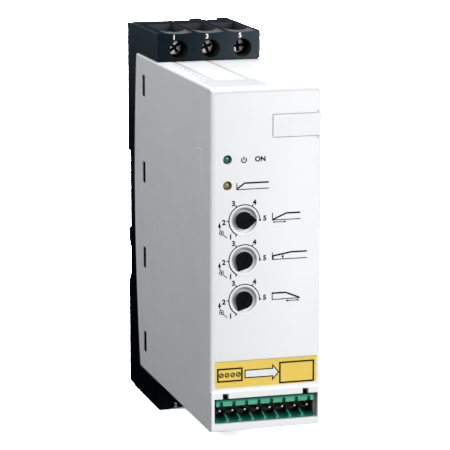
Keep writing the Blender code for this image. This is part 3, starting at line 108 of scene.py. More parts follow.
class Look:
    """A Principled material whose colour, roughness and bump come from noise and places."""

    def __init__(self, name, metallic=0.0, specular=0.5, coat=0.0):
        self.material = bpy.data.materials.new(name)
        self.material.use_nodes = True
        self.tree = self.material.node_tree
        self.shader = self.tree.nodes["Principled BSDF"]
        self.shader.inputs["Metallic"].default_value = metallic
        self.shader.inputs["Specular IOR Level"].default_value = specular
        self.shader.inputs["Coat Weight"].default_value = coat
        self.place = self.tree.nodes.new("ShaderNodeTexCoord").outputs["Object"]
        self.tint = None
        self.normal = None

    def noise(self, size, detail=3.0, stretch=(1, 1, 1)):
        """Noise whose patches are about so many millimetres across."""
        mapping = self.tree.nodes.new("ShaderNodeMapping")
        mapping.inputs["Scale"].default_value = stretch
        self.tree.links.new(self.place, mapping.inputs["Vector"])
        texture = self.tree.nodes.new("ShaderNodeTexNoise")
        texture.inputs["Scale"].default_value = 1 / (size * MM)
        texture.inputs["Detail"].default_value = detail
        self.tree.links.new(mapping.outputs["Vector"], texture.inputs["Vector"])
        return texture.outputs["Fac"]

    def show(self, tint):
        self.tint = tint
        self.tree.links.new(tint, self.shader.inputs["Base Color"])

    def colour(self, value, dark, light):
        """Goes between two colours with noise."""
        ramp = self.tree.nodes.new("ShaderNodeValToRGB")
        first, last = ramp.color_ramp.elements
        first.position, last.position = NOISE_LOW, NOISE_HIGH
        first.color, last.color = (*dark, 1), (*light, 1)
        self.tree.links.new(value, ramp.inputs["Fac"])
        self.show(ramp.outputs["Color"])

    def axis(self, letter):
        separate = self.tree.nodes.new("ShaderNodeSeparateXYZ")
        self.tree.links.new(self.place, separate.inputs["Vector"])
        return separate.outputs[letter]

    def math(self, operation, *values):
        """A Math node fed with numbers and sockets."""
        node = self.tree.nodes.new("ShaderNodeMath")
        node.operation = operation
        for i, value in enumerate(values):
            if isinstance(value, (int, float)):
                node.inputs[i].default_value = value
            else:
                self.tree.links.new(value, node.inputs[i])
        return node.outputs["Value"]

    def both(self, mask, *others):
        """What all the masks share."""
        for other in others:
            mask = self.math("MULTIPLY", mask, other)
        return mask

    def span(self, value, start, end):
        """Goes from 0 to 1 while a place goes from start to end."""
        spread = self.tree.nodes.new("ShaderNodeMapRange")
        spread.inputs["From Min"].default_value = start * MM
        spread.inputs["From Max"].default_value = end * MM
        self.tree.links.new(value, spread.inputs["Value"])
        return spread.outputs["Result"]

    def within(self, letter, low, high, soft=0.1):
        """1 between two places on an axis and 0 outside them."""
        place = self.axis(letter)
        return self.both(self.span(place, low - soft, low + soft),
                         self.span(place, high + soft, high - soft))

    def lay(self, factor, colour):
        """Lays a colour over the present one, fully where the factor is 1."""
        mix = self.tree.nodes.new("ShaderNodeMix")
        mix.data_type = "RGBA"
        self.tree.links.new(factor, mix.inputs["Factor"])
        self.tree.links.new(self.tint, mix.inputs["A"])
        mix.inputs["B"].default_value = (*colour, 1)
        self.show(mix.outputs["Result"])

    def roughness(self, value, low, high):
        """Goes between two roughnesses with noise."""
        spread = self.tree.nodes.new("ShaderNodeMapRange")
        spread.inputs["From Min"].default_value = NOISE_LOW
        spread.inputs["From Max"].default_value = NOISE_HIGH
        spread.inputs["To Min"].default_value = low
        spread.inputs["To Max"].default_value = high
        self.tree.links.new(value, spread.inputs["Value"])
        self.tree.links.new(spread.outputs["Result"], self.shader.inputs["Roughness"])

    def bump(self, value, depth, strength=1.0):
        """Adds relief of that depth to what is there."""
        bump = self.tree.nodes.new("ShaderNodeBump")
        bump.inputs["Distance"].default_value = depth * MM
        bump.inputs["Strength"].default_value = strength
        self.tree.links.new(value, bump.inputs["Height"])
        if self.normal:
            self.tree.links.new(self.normal, bump.inputs["Normal"])
        self.normal = bump.outputs["Normal"]
        self.tree.links.new(self.normal, self.shader.inputs["Normal"])


def plastic(name, dark, light, rough, patch=14, grain=0.35, depth=0.02, specular=0.5):
    """Moulded plastic: faint cloudy colour and a fine spark-eroded grain."""
    look = Look(name, specular=specular)
    look.colour(look.noise(patch, 4), dark, light)
    look.roughness(look.noise(patch * 0.3, 2), rough - 0.04, rough + 0.05)
    look.bump(look.noise(grain, 2), depth)
    look.bump(look.noise(patch, 1), depth * 1.5, 0.12)
    return look


def moulded(*given, **more):
    """The bare material of a plastic."""
    return plastic(*given, **more).material


def shade_top(look):
    """Painted shade: the top is greyer towards the front, and so are the brow below it and the
    left corner.
    """
    middle, front = -65, -118
    y, z = look.axis("Y"), look.axis("Z")
    top = look.span(z, COVER_TOP_MM - 0.9, COVER_TOP_MM - 0.2)
    look.lay(look.both(top, look.span(y, middle, front)), (0.655, 0.66, 0.665))
    brow = look.span(z, COVER_TOP_MM - 2.1, COVER_TOP_MM - 1.9)
    look.lay(look.both(brow, look.span(y, -125.0, -125.8)), (0.65, 0.655, 0.66))
    corner = look.both(look.within("X", COVER_SKIN[0], -20.6), look.span(y, -125.5, -126.5))
    look.lay(look.both(corner, look.span(z, -50, 30)), (0.69, 0.695, 0.70))


def shade_openings(look):
    """Darker floors of the channel and grooves on top, and painted shade deepening into the wall
    of the header's window.
    """
    floor = look.span(look.axis("Z"), COVER_TOP_MM - 0.15, COVER_TOP_MM - 0.35)
    inside = look.both(look.within("X", -20.7, 20.7), look.within("Y", -123.2, -20))
    look.lay(look.both(floor, inside), (0.54, 0.545, 0.555))
    # Painted shade on the window's right wall, darker deeper in.
    window = look.both(look.within("X", 20.4, 21.6), look.within("Z", -70.8, -60.4))
    look.lay(look.both(window, look.span(look.axis("Y"), -125.8, -120.5)), (0.05, 0.055, 0.06))


def shade_wells(look):
    """The knob wells' slanting walls: in shade at the upper left, in light at the lower right."""
    half = KNOB_PITCH / 2
    row = look.math("SUBTRACT", look.axis("Z"), COVER_LOW.z + KNOBS[-1][1] * MM)
    up = look.math("WRAP", row, half * MM, -half * MM)
    out = look.math("SUBTRACT", look.axis("X"), (KNOB_X + COVER_LEFT_MM) * MM)
    reach = look.math("SQRT", look.math("ADD", look.math("MULTIPLY", up, up),
                                        look.math("MULTIPLY", out, out)))
    last = KNOB_PITCH * (len(KNOBS) - 1) + half
    rows = look.both(look.span(row, -half, 0.1 - half), look.span(row, last, last - 0.1))
    wall = look.both(look.span(reach, WELL_RADIUS + 0.2, WELL_RADIUS - 0.1),
                     look.within("Y", -126.9, -118), rows)
    slope = look.math("SUBTRACT", up, out)
    look.lay(look.both(wall, look.span(slope, 0, 6)), (0.50, 0.50, 0.505))
    look.lay(look.both(wall, look.span(slope, 0, -5)), (0.96, 0.965, 0.97))


def side_mark(look):
    """The raised angled line on the cover's left side, a level stroke and a fading upright, laid
    whiter than the side as a painted highlight, with a bump for its relief.
    """
    front, bend, back = -116.4, -114.9, -109.5
    foot, full, under, top = 23, 33, 35.3, 35.9
    z = look.axis("Z")
    upright = look.both(look.within("Y", front, bend, 0.05), look.span(z, foot, full),
                        look.span(z, top, top - 0.2))
    level = look.both(look.within("Y", front, back), look.within("Z", under, top))
    line = look.both(look.math("MAXIMUM", upright, level), look.within("X", *COVER_SKIN))
    # Painted highlight: the line is laid white, lighter than the side round it.
    look.lay(line, (1.0, 1.0, 1.0))
    look.bump(line, 0.2)


def cover_plastic():
    """White plastic with painted shade on its top, its window wall and its wells, painted light
    in its wells, darker floors on top, and a painted highlight on the mark on its side.
    """
    look = plastic("cover_plastic", (0.785, 0.79, 0.795), (0.81, 0.815, 0.82), 0.46)
    shade_top(look)
    shade_openings(look)
    shade_wells(look)
    side_mark(look)
    return look.material


def sheet_film():
    """Grey-white film, with painted shade making it a little greyer towards its left."""
    look = plastic("sheet_film", (0.80, 0.81, 0.82), (0.83, 0.84, 0.85), 0.42,
                   patch=30, grain=0.25, depth=0.006)
    # Painted shade, greyer towards the left.
    look.lay(look.span(look.axis("X"), 12, -24), (0.73, 0.735, 0.735))
    return look.material


def base_plastic():
    """Blue-black plastic with painted light and shade: a painted sheen along the blocks' fronts,
    painted shade in the wells and low on the left flank, and painted light high on that flank, on
    the blocks' ends and on the faces out of view.
    """
    half_height, half_width = 79.5, 22.5
    # Painted light: this base colour is lighter than the blocks' own black, so that the faces out
    # of view show.
    look = plastic("base_plastic", (0.015, 0.020, 0.024), (0.021, 0.027, 0.032), 0.5,
                   grain=0.5, depth=0.03)
    x, y, z = (look.axis(letter) for letter in "XYZ")
    off_middle = look.math("ABSOLUTE", look.math("SUBTRACT", z, MIDDLE_MM * MM))
    flank = look.within("X", -22.6, -21.9)
    front = look.span(y, BLOCK_FRONT_MM + 2, BLOCK_FRONT_MM + 0.3)
    end = look.span(off_middle, half_height - 0.4, half_height - 0.1)
    # The outer faces have no gloss in the photo.
    shown = look.math("MAXIMUM", look.math("MAXIMUM", flank, front), end)
    gloss = look.math("MULTIPLY", look.math("SUBTRACT", 1.0, shown), 0.3)
    look.tree.links.new(gloss, look.shader.inputs["Specular IOR Level"])
    # The left flank, the blocks' fronts and their ends are laid the darker black; elsewhere the
    # lighter colour stays as painted light.
    look.lay(shown, (0.0050, 0.0096, 0.0138))
    # Painted light high on the left flank and painted shade low on it.
    look.lay(look.both(flank, look.span(z, 30, 74)), (0.036, 0.047, 0.060))
    look.lay(look.both(flank, look.span(z, 10, -30)), (0.0018, 0.0033, 0.0044))
    # Painted sheen on the blocks' fronts, lighter towards the right.
    across = look.math("POWER", look.span(x, -half_width, half_width), 2)
    look.lay(look.both(front, across), (0.042, 0.053, 0.062))
    # Painted shade, darker deeper in the wells.
    well = look.both(look.span(y, BLOCK_FRONT_MM + 0.3, BLOCK_FRONT_MM + 2.5),
                     look.within("X", -21.6, 21.6),
                     look.span(off_middle, half_height - 2.1, half_height - 5))
    look.lay(look.both(well, look.span(y, -3, -8)), (0.0012, 0.0016, 0.002))
    # Painted light on the blocks' ends.
    look.lay(end, (0.012, 0.018, 0.023))
    return look.material


def header_plastic():
    """Green plastic with painted shade: its channel goes dark behind the front faces, and its
    lip's front and the top of its rail are shaded; the ribs in the lip get painted light.
    """
    sill = (-71, -66.5)
    look = plastic("header_plastic", (0.055, 0.36, 0.225), (0.075, 0.42, 0.265), 0.40,
                   patch=5, grain=0.3, depth=0.01, specular=0.3)
    x, y, z = (look.axis(letter) for letter in "XYZ")
    face = look.span(y, -126.2, -126.4)
    # Painted shade behind the front faces, going near black deeper in the channel.
    look.lay(look.span(y, -126.45, -126.2), (0.003, 0.11, 0.068))
    look.lay(look.span(y, -125.8, -122.2), (0.0008, 0.003, 0.003))
    # Painted shade on the lip's front face.
    look.lay(look.both(face, look.within("Z", *sill)), (0.004, 0.105, 0.068))
    # Painted light on the ribs in the lip, against the painted shade round them.
    beat = look.math("PINGPONG", x, PIN_PITCH / 2 * MM)
    rib = look.both(look.span(beat, 0.42, 0.26), look.span(y, -121.5, -123.5))
    look.lay(look.both(rib, look.within("Z", *sill)), (0.05, 0.34, 0.21))
    # Painted shadow along the top of the rail, under the window's edge.
    look.lay(look.both(look.span(z, -62.2, -61.6), face), (0.004, 0.13, 0.075))
    return look.material


def pin_tin():
    """Tinned pins, bright at their tips and in the housing's shade behind them."""
    look = Look("pin_tin", metallic=1.0)
    marks = look.noise(0.4, 4, (1, 0.15, 1))
    look.colour(marks, (0.62, 0.61, 0.58), (0.78, 0.77, 0.74))
    look.roughness(marks, 0.24, 0.40)
    look.bump(marks, 0.006)
    look.lay(look.span(look.axis("Y"), PIN_TIP_MM + 0.25, PIN_TIP_MM + 0.6), (0.02, 0.022, 0.022))
    return look.material


def screw_zinc():
    """Plated steel, darkened all over as painted shade, and painted near-black as painted shade
    in the recess of the head.
    """
    look = Look("screw_zinc", metallic=1.0)
    marks = look.noise(0.8, 3, (1, 4, 1))
    # Painted shade: the plating is darker than its own colour, as the heads lie in shade in their
    # wells.
    look.colour(look.noise(2, 2), (0.20, 0.19, 0.17), (0.34, 0.33, 0.30))
    look.roughness(marks, 0.26, 0.38)
    look.bump(marks, 0.004)
    # Painted shade in the recess of the head.
    look.lay(look.within("Y", SCREW_FACE_MM + 0.35, SCREW_FACE_MM + 1.8, 0.15),
             (0.004, 0.004, 0.004))
    return look.material


def plated(name, dark, light, rough, stretch=(1, 1, 1), grain=0.5):
    """Metal with drawn or turned marks along one direction."""
    look = Look(name, metallic=1.0)
    marks = look.noise(grain, 5, stretch)
    look.colour(look.noise(3, 4), dark, light)
    look.roughness(marks, rough - 0.08, rough + 0.12)
    look.bump(marks, 0.01)
    return look.material


def circuit():
    """Solder mask with copper tracks and pads showing through it."""
    look = Look("board_mask", specular=0.5)
    turn = look.tree.nodes.new("ShaderNodeMapping")
    turn.inputs["Rotation"].default_value = (radians(90), 0, 0)
    look.tree.links.new(look.place, turn.inputs["Vector"])
    tracks = look.tree.nodes.new("ShaderNodeTexBrick")
    for socket, value in (("Scale", 1 / MM), ("Mortar Size", 0.16), ("Mortar Smooth", 0.1),
                          ("Brick Width", 5.2), ("Row Height", 1.9), ("Color1", BLACK),
                          ("Color2", BLACK), ("Mortar", WHITE)):
        tracks.inputs[socket].default_value = value
    look.tree.links.new(turn.outputs["Vector"], tracks.inputs["Vector"])
    look.colour(look.noise(9, 3), (0.010, 0.11, 0.045), (0.018, 0.17, 0.07))
    look.lay(tracks.outputs["Color"], (0.05, 0.30, 0.13))
    look.roughness(look.noise(4, 2), 0.3, 0.42)
    look.bump(tracks.outputs["Color"], 0.03)
    return look.material


def lens(name, dark, light):
    """A coloured lamp lens: deep colour, a clear coat and moulded-in cloudiness."""
    look = Look(name, specular=0.6, coat=0.6)
    look.shader.inputs["Coat Roughness"].default_value = 0.08
    look.colour(look.noise(1.6, 2), dark, light)
    look.roughness(look.noise(0.8, 2), 0.18, 0.26)
    look.bump(look.noise(0.5, 1), 0.01)
    return look.material


MATERIALS = {
    "cover_white": cover_plastic(),
    "base_black": base_plastic(),
    "clip_black": moulded("clip_plastic", (0.008, 0.012, 0.015), (0.012, 0.017, 0.021), 0.5,
                          specular=0.1),
    "sheet_grey_white": sheet_film(),
    "label_yellow": moulded("label_film", (0.76, 0.545, 0.085), (0.80, 0.58, 0.10), 0.42,
                            patch=20, grain=0.25, depth=0.006),
    "tag_white": moulded("tag_plastic", (0.76, 0.77, 0.78), (0.80, 0.81, 0.82), 0.48,
                         patch=8, grain=0.3, depth=0.01),
    "header_green": header_plastic(),
    "knob_black": moulded("knob_plastic", (0.0018, 0.002, 0.0025), (0.0035, 0.004, 0.0045), 0.48,
                          patch=3, grain=0.3, depth=0.012, specular=0.05),
    "trimmer_blue": moulded("trimmer_plastic", (0.02, 0.08, 0.27), (0.035, 0.12, 0.34), 0.45,
                            patch=4, grain=0.3),
    "chip_black": moulded("chip_resin", (0.015, 0.015, 0.016), (0.025, 0.025, 0.026), 0.55,
                          patch=4, grain=0.2),
    "relay_black": moulded("relay_case", (0.014, 0.015, 0.018), (0.024, 0.025, 0.029), 0.32,
                           patch=8, grain=0.4),
    "capacitor_sleeve": moulded("capacitor_film", (0.04, 0.05, 0.09), (0.06, 0.07, 0.12), 0.30,
                                patch=6, grain=0.4),
    "varistor_blue": moulded("varistor_coating", (0.015, 0.07, 0.28), (0.03, 0.11, 0.36), 0.30,
                             patch=3, grain=0.6, depth=0.05),
    "module_black": moulded("module_resin", (0.016, 0.016, 0.017), (0.026, 0.026, 0.027), 0.50,
                            patch=6, grain=0.25),
    "pin_tinned": pin_tin(),
    "screw_steel": screw_zinc(),
    "cage_steel": plated("cage_zinc", (0.16, 0.155, 0.145), (0.26, 0.255, 0.24), 0.36,
                         stretch=(0.2, 1, 1)),
    "spring_steel": plated("spring_wire", (0.40, 0.40, 0.39), (0.58, 0.58, 0.56), 0.30),
    "bar_tinned_copper": plated("bar_tin", (0.24, 0.22, 0.19), (0.34, 0.31, 0.27), 0.32,
                                stretch=(1, 1, 0.15)),
    "sink_aluminium": plated("sink_metal", (0.56, 0.57, 0.59), (0.72, 0.73, 0.75), 0.36,
                             stretch=(1, 1, 0.05), grain=0.8),
    "board_green": circuit(),
    "lamp_green": lens("green_lens", (0.004, 0.13, 0.085), (0.015, 0.22, 0.16)),
    "lamp_amber": lens("amber_lens", (0.16, 0.12, 0.02), (0.36, 0.28, 0.07)),
}
COVER_WHITE = MATERIALS["cover_white"]
INK = moulded("black_ink", (0.004, 0.005, 0.006), (0.008, 0.009, 0.010), 0.5,
              patch=4, grain=0.2, depth=0.004, specular=0.08)
INSET = moulded("inset_plastic", (0.52, 0.525, 0.535), (0.55, 0.555, 0.565), 0.5)
WHITE_INK = moulded("white_ink", (0.70, 0.72, 0.74), (0.80, 0.82, 0.84), 0.45,
                    patch=4, grain=0.2, depth=0.004)


# The part's own pieces


def make_joiner():
    """Geometry nodes that join a mesh's loose faces and smooth it between sharp edges."""
    group = bpy.data.node_groups.new("join_and_smooth", "GeometryNodeTree")
    for way in ("INPUT", "OUTPUT"):
        group.interface.new_socket("Geometry", in_out=way, socket_type="NodeSocketGeometry")
    start = group.nodes.new("NodeGroupInput")
    merge = group.nodes.new("GeometryNodeMergeByDistance")
    merge.inputs["Distance"].default_value = 0.001 * MM
    soft = group.nodes.new("GeometryNodeSetShadeSmooth")
    angle = group.nodes.new("GeometryNodeInputMeshEdgeAngle")
    limit = group.nodes.new("FunctionNodeCompare")
    limit.operation = "GREATER_THAN"
    limit.inputs[1].default_value = radians(SHARP)
    hard = group.nodes.new("GeometryNodeSetShadeSmooth")
    hard.domain = "EDGE"
    hard.inputs["Shade Smooth"].default_value = False
    end = group.nodes.new("NodeGroupOutput")
    group.links.new(start.outputs[0], merge.inputs["Geometry"])
    group.links.new(merge.outputs["Geometry"], soft.inputs["Geometry"])
    group.links.new(angle.outputs["Unsigned Angle"], limit.inputs[0])
    group.links.new(soft.outputs["Geometry"], hard.inputs["Geometry"])
    group.links.new(limit.outputs["Result"], hard.inputs["Selection"])
    group.links.new(hard.outputs["Geometry"], end.inputs[0])
    return group


def soften(obj, joiner, width):
    """Smooths a CAD node's shading and breaks its sharp edges by a hair."""
    if "custom_normal" in obj.data.attributes:
        obj.data.attributes.remove(obj.data.attributes["custom_normal"])
    join = obj.modifiers.new("join", "NODES")
    join.node_group = joiner
    if width:
        edge = obj.modifiers.new("edge", "BEVEL")
        edge.width = width * MM
        edge.segments = 2
        edge.limit_method = "ANGLE"
        edge.angle_limit = radians(SHARP)
        edge.harden_normals = True
        flat = obj.modifiers.new("flat", "WEIGHTED_NORMAL")
        flat.keep_sharp = True


def dress_nodes():
    """Gives every CAD node its finish and its softened edges."""
    joiner = make_joiner()
    for entry in frame["record"]["subparts"]:
        obj = nodes[entry["node"]]
        soften(obj, joiner, EDGES.get(entry["node"], EDGE))
        material = MATERIALS[entry["material_slot"]]
        for slot in obj.material_slots:
            slot.material = material
        if not obj.material_slots:
            obj.data.materials.append(material)


# Flat printed shapes


def before(face, x, z, lift):
    """A point lifted off a front face, from millimetres right of and above the corner."""
    return Vector((COVER_LOW.x + x * MM, face - lift, COVER_LOW.z + z * MM))


def add_mesh(name, mesh, material, body="housing", smooth=False):
    """Makes a visible piece of a bmesh and lets it ride on its body."""
    bmesh.ops.recalc_face_normals(mesh, faces=mesh.faces)
    data = bpy.data.meshes.new(name)
    mesh.to_mesh(data)
    mesh.free()
    data.materials.append(material)
    if smooth:
        data.polygons.foreach_set("use_smooth", [True] * len(data.polygons))
        data.set_sharp_from_angle(angle=radians(MADE_SHARP))
    obj = bpy.data.objects.new(name, data)
    bpy.context.scene.collection.objects.link(obj)
    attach(obj, body)


def print_piece(name, shapes, face, material):
    """One thin piece of print before a front face, from polygons of (x, z) corners."""
    mesh = bmesh.new()
    for shape in shapes:
        lower, upper = ([mesh.verts.new(before(face, x, z, lift)) for x, z in shape]
                        for lift in (PRINT_LIFT, PRINT_LIFT + PRINT_DEPTH))
        mesh.faces.new(upper)
        mesh.faces.new(lower[::-1])
        for i in range(len(shape)):
            j = (i + 1) % len(shape)
            mesh.faces.new((lower[i], lower[j], upper[j], upper[i]))
    add_mesh(name, mesh, material)


def stroke(points, width, closed=False):
    """A line of even width along points, as one quad for each stretch, with mitred joins."""
    mitre_limit = 0.35
    count = len(points)
    left, right = [], []
    for i, point in enumerate(points):
        here = Vector(point)
        before = Vector(points[i - 1]) if i or closed else None
        after = Vector(points[(i + 1) % count]) if i < count - 1 or closed else None
        into = (here - before).normalized() if before else (after - here).normalized()
        out = (after - here).normalized() if after else into
        side = Vector((-(into + out).y, (into + out).x))
        if side.length < 1e-6:
            side = Vector((-into.y, into.x))
        side.normalize()
        reach = width / 2 / max(mitre_limit, side.dot(Vector((-into.y, into.x))))
        left.append(here + side * reach)
        right.append(here - side * reach)
    quads = []
    for i in range(count if closed else count - 1):
        j = (i + 1) % count
        quads.append([tuple(right[i]), tuple(right[j]), tuple(left[j]), tuple(left[i])])
    return quads


def arc(x, z, radius, start, end, steps=24):
    """Points on an arc; degrees count anticlockwise from the right."""
    angles = [radians(start + (end - start) * i / steps) for i in range(steps + 1)]
    return [(x + radius * cos(a), z + radius * sin(a)) for a in angles]


def disc(x, z, radius, steps=20):
    return arc(x, z, radius, 0, 360, steps)[:-1]


def rectangle(x0, z0, x1, z1):
    return [(x0, z0), (x0, z1), (x1, z1), (x1, z0)]


def shifted(points, x, z):
    return [(x + u, z + v) for u, v in points]


def lettering(text, height, x, z, weight):
    """Flat triangles of a short text, centred on (x, z), capitals of that height."""
    curve = bpy.data.curves.new("lettering", "FONT")
    curve.body = text
    curve.size = 1
    curve.offset = weight
    curve.align_x = "CENTER"
    obj = bpy.data.objects.new("lettering", curve)
    bpy.context.scene.collection.objects.link(obj)
    bpy.context.view_layer.update()
    source = obj.to_mesh()
    xs = [v.co.x for v in source.vertices]
    zs = [v.co.y for v in source.vertices]
    scale = height / (max(zs) - min(zs))
    middle_x, middle_z = (max(xs) + min(xs)) / 2, (max(zs) + min(zs)) / 2
    shapes = [[(x + (xs[i] - middle_x) * scale, z + (zs[i] - middle_z) * scale)
               for i in face.vertices] for face in source.polygons]
    obj.to_mesh_clear()
    bpy.data.objects.remove(obj, do_unlink=True)
    bpy.data.curves.remove(curve)
    return shapes


# Print on the front, in millimetres from the cover's lower left corner


def dial_print(name, x, z):
    """The scale round a knob: arc, ticks, end dot and the numbers 1 to 5."""
    radius, tick, number_out, number_up = 6.15, (6.2, 7.05), 8.2, 8.1
    shapes = stroke(arc(x, z, radius, 242, 0, 44), DIAL_LINE)
    for angle in (240, 180, 120, 60):
        a = radians(angle)
        shapes += stroke([(x + r * cos(a), z + r * sin(a)) for r in tick], DIAL_LINE)
    shapes.append(disc(x + tick[0], z, 0.50))
    for number, angle in zip("12345", (228, 182, 122, 60, 4)):
        a = radians(angle)
        shapes += lettering(number, CAPITALS, x + number_out * cos(a), z + number_up * sin(a),
                            0.042)
    print_piece(name + "_scale", shapes, SHEET_FACE, INK)


def turn_symbol(name, x, z):
    """The small sign left of a knob: an arrow round to a ring with a dot."""
    shapes = [shifted([(-10.52, -2.2), (-9.28, -2.2), (-9.9, -0.2)], x, z)]
    shapes += stroke(shifted([(-9.9, -2.1), (-9.85, -2.7), (-9.5, -3.6)], x, z), 0.30)
    shapes += stroke(arc(x - 9.1, z - 4.4, 0.85, 0, 345, 20), 0.28)
    shapes.append(disc(x - 9.1, z - 4.4, 0.42, 12))
    shapes += stroke(shifted([(-8.5, -5.0), (-7.8, -5.8), (-6.9, -6.4)], x, z), 0.30)
    print_piece(name + "_turn_sign", shapes, SHEET_FACE, INK)


# Each knob's graph of voltage over time: its place, its length, its curve, and the ends of
# the arrow over what the knob sets.
GRAPH_X = 25.1
GRAPHS = (
    ("start_time", 84.3, 11.3, [(0.1, -1.1), (5.6, 1.2), (11.2, 1.2)],
     [(0, -2.1), (5.6, -2.1)]),
    ("start_voltage", 68.8, 14.1, [(0.2, -1.1), (0.2, 0.1), (7.5, 1.3), (14.0, 1.3)],
     [(4.2, -1.15), (4.2, 0.55)]),
    ("stop_time", 53.0, 11.3, [(0.1, 1.2), (5.4, 1.2), (11.0, -1.1)],
     [(5.4, -2.1), (11.0, -2.1)]),
)


def graph(name, z, length, curve, arrow):
    """A small graph beside a knob: axes, curve and arrow."""
    head_length, head_half = 0.9, 0.45
    axes = [(0, 1.6), (0, -1.3), (length, -1.3)]
    shapes = stroke(shifted(axes, GRAPH_X, z), AXIS_LINE)
    shapes += stroke(shifted(curve, GRAPH_X, z), CURVE_LINE)
    start, end = (Vector(point) for point in shifted(arrow, GRAPH_X, z))
    along = (end - start).normalized()
    across = Vector((-along.y, along.x))
    shapes += stroke([tuple(start + along * 0.6), tuple(end - along * 0.6)], 0.32)
    for tip, way in ((start, along), (end, -along)):
        shapes.append([tuple(tip), tuple(tip + way * head_length + across * head_half),
                       tuple(tip + way * head_length - across * head_half)])
    print_piece(name + "_graph", shapes, SHEET_FACE, INK)


def power_sign(x, z):
    """The common sign for power: an open ring with a stroke in its gap."""
    ring = arc(x, z, 1.0, 130, 410, 24)
    return stroke(ring, SIGN_LINE) + stroke([(x, z - 0.1), (x, z + 1.35)], SIGN_LINE)


def front_print():
    for name, z in KNOBS:
        dial_print(name, KNOB_X, z)
        turn_symbol(name, KNOB_X, z)
    for given in GRAPHS:
        graph(*given)
    shapes = power_sign(13.6, 107.0)
    shapes += lettering("ON", CAPITALS, 20.1, 107.15, 0.040)
    print_piece("power_on_legend", shapes, SHEET_FACE, INK)
    shapes = stroke([(10.9, 95.9), (13.9, 98.0), (23.5, 98.0)], CURVE_LINE)
    shapes += stroke([(10.8, 98.2), (10.8, 95.6), (23.6, 95.6)], AXIS_LINE)
    print_piece("full_voltage_graph", shapes, SHEET_FACE, INK)


def label_print():
    """The yellow label's frames and arrow, with a row of terminals in place of its sign."""
    shapes = stroke(rectangle(28.35, 18.25, 42.05, 26.3), 0.64, closed=True)
    shapes += stroke(rectangle(3.2, 20.3, 12.9, 25.2), 0.66, closed=True)
    for i in range(4):
        x, z = 4.6 + 2.3 * i, 22.75
        shapes += stroke(disc(x, z, 0.78, 16), 0.38, closed=True)
        shapes += stroke([(x - 0.5, z - 0.5), (x + 0.5, z + 0.5)], 0.32)
    arrow = [(14.2, 24.2), (25.4, 24.2), (25.4, 25.5), (27.8, 22.7), (25.4, 19.9), (25.4, 21.2),
             (14.2, 21.2)]
    shapes += stroke(arrow, 0.44, closed=True)
    print_piece("label_frame_print", shapes, SHEET_FACE, INK)
    filling = [rectangle(14.3, 21.3, 25.4, 24.1), [(25.4, 25.3), (27.6, 22.7), (25.4, 20.1)]]
    inner = SHEET_FACE + PRINT_DEPTH / 2
    print_piece("label_arrow_print", filling, inner, WHITE_INK)


def block_print():
    """The terminal numbers on the two blocks, as far above the cover as below it."""
    height, weight, above = 2.0, 0.030, 145.0
    shapes = []
    for i, x in enumerate((7.6, 21.6, 35.7)):
        shapes += lettering(str(2 * i + 1), height, x, above, weight)
        shapes += lettering(str(2 * i + 2), height, x, COVER_HEIGHT - above, weight)
    print_piece("terminal_numbers", shapes, BLOCK_FRONT, WHITE_INK)


# Small moulded details


def place(x, y, z):
    """A point from millimetres right of, behind and above the cover's lower left front."""
    return COVER_LOW + Vector((x, y, z)) * MM


def add_prism(mesh, outline, first, last):
    """A straight bar; first and last place the outline's points at its two ends."""
    start = [mesh.verts.new(first(point)) for point in outline]
    end = [mesh.verts.new(last(point)) for point in outline]
    mesh.faces.new(start)
    mesh.faces.new(end[::-1])
    for i in range(len(outline)):
        j = (i + 1) % len(outline)
        mesh.faces.new((start[i], end[i], end[j], start[j]))


def well_rims():
    """A thin rounded rim round each knob's well, over the joint of sheet and cover."""
    profile = [(WELL_RADIUS, 0), (5.38, 0.05), (5.50, 0.07), (5.80, 0.07), (5.92, 0.05), (6.0, 0)]
    around = 64
    for name, z in KNOBS:
        mesh = bmesh.new()
        rings = []
        for i in range(around):
            a = 2 * pi * i / around
            rings.append([mesh.verts.new(before(SHEET_FACE, KNOB_X + r * cos(a), z + r * sin(a),
                                                h * MM)) for r, h in profile])
        for i in range(around):
            here, there = rings[i], rings[(i + 1) % around]
            for k in range(len(profile)):
                m = (k + 1) % len(profile)
                mesh.faces.new((here[k], here[m], there[m], there[k]))
        add_mesh(name + "_well_rim", mesh, COVER_WHITE, smooth=True)


def sheet_edge():
    """A narrow filler in the joint round the sheet, just under its face, open at the tag."""
    x0, x1, z0, z1, r = 1.85, 43.6, 17.45, 132.75, 1.7
    tag_low, tag_high = 115.0, 124.2
    path = [(x1, tag_high)]
    path += arc(x1 - r, z1 - r, r, 0, 90, 6) + arc(x0 + r, z1 - r, r, 90, 180, 6)
    path += arc(x0 + r, z0 + r, r, 180, 270, 6) + arc(x1 - r, z0 + r, r, 270, 360, 6)
    path.append((x1, tag_low))
    print_piece("sheet_edge", stroke(path, 0.28), SHEET_FACE + 0.15 * MM, COVER_WHITE)


def top_insets():
    """Smooth grey insets in the channel and the two grooves on top."""
    low, high = COVER_HEIGHT - 0.38, COVER_HEIGHT - 0.08
    mesh = bmesh.new()
    spans = ((2.05, 24.55, 4.55, 23.3), (6.95, 8.65, 23.3, 83.1), (21.15, 22.85, 23.3, 83.1))
    for x0, x1, y0, y1 in spans:
        outline = [(x0, y0), (x1, y0), (x1, y1), (x0, y1)]
        add_prism(mesh, outline, lambda p: place(*p, low), lambda p: place(*p, high))
    add_mesh("top_insets", mesh, INSET)


def vent_blades():
    """Slanted blades in the ladder of vents along the top's and the bottom's left edge."""
    left, right, first, pitch, count = 2.65, 5.95, 11.5, 6.2, 11
    for name, base, way in (("top", COVER_HEIGHT, -1), ("bottom", 0, 1)):
        mesh = bmesh.new()
        for i in range(count):
            y = first + pitch * i
            section = [(y + 0.1, 0.9), (y + 3.4, 0.2), (y + 3.5, 0.5), (y + 0.4, 1.2)]
            add_prism(mesh, section, lambda p: place(left, p[0], base + way * p[1]),
                      lambda p: place(right, p[0], base + way * p[1]))
        add_mesh(name + "_vent_blades", mesh, COVER_WHITE)


# Stage, light and camera


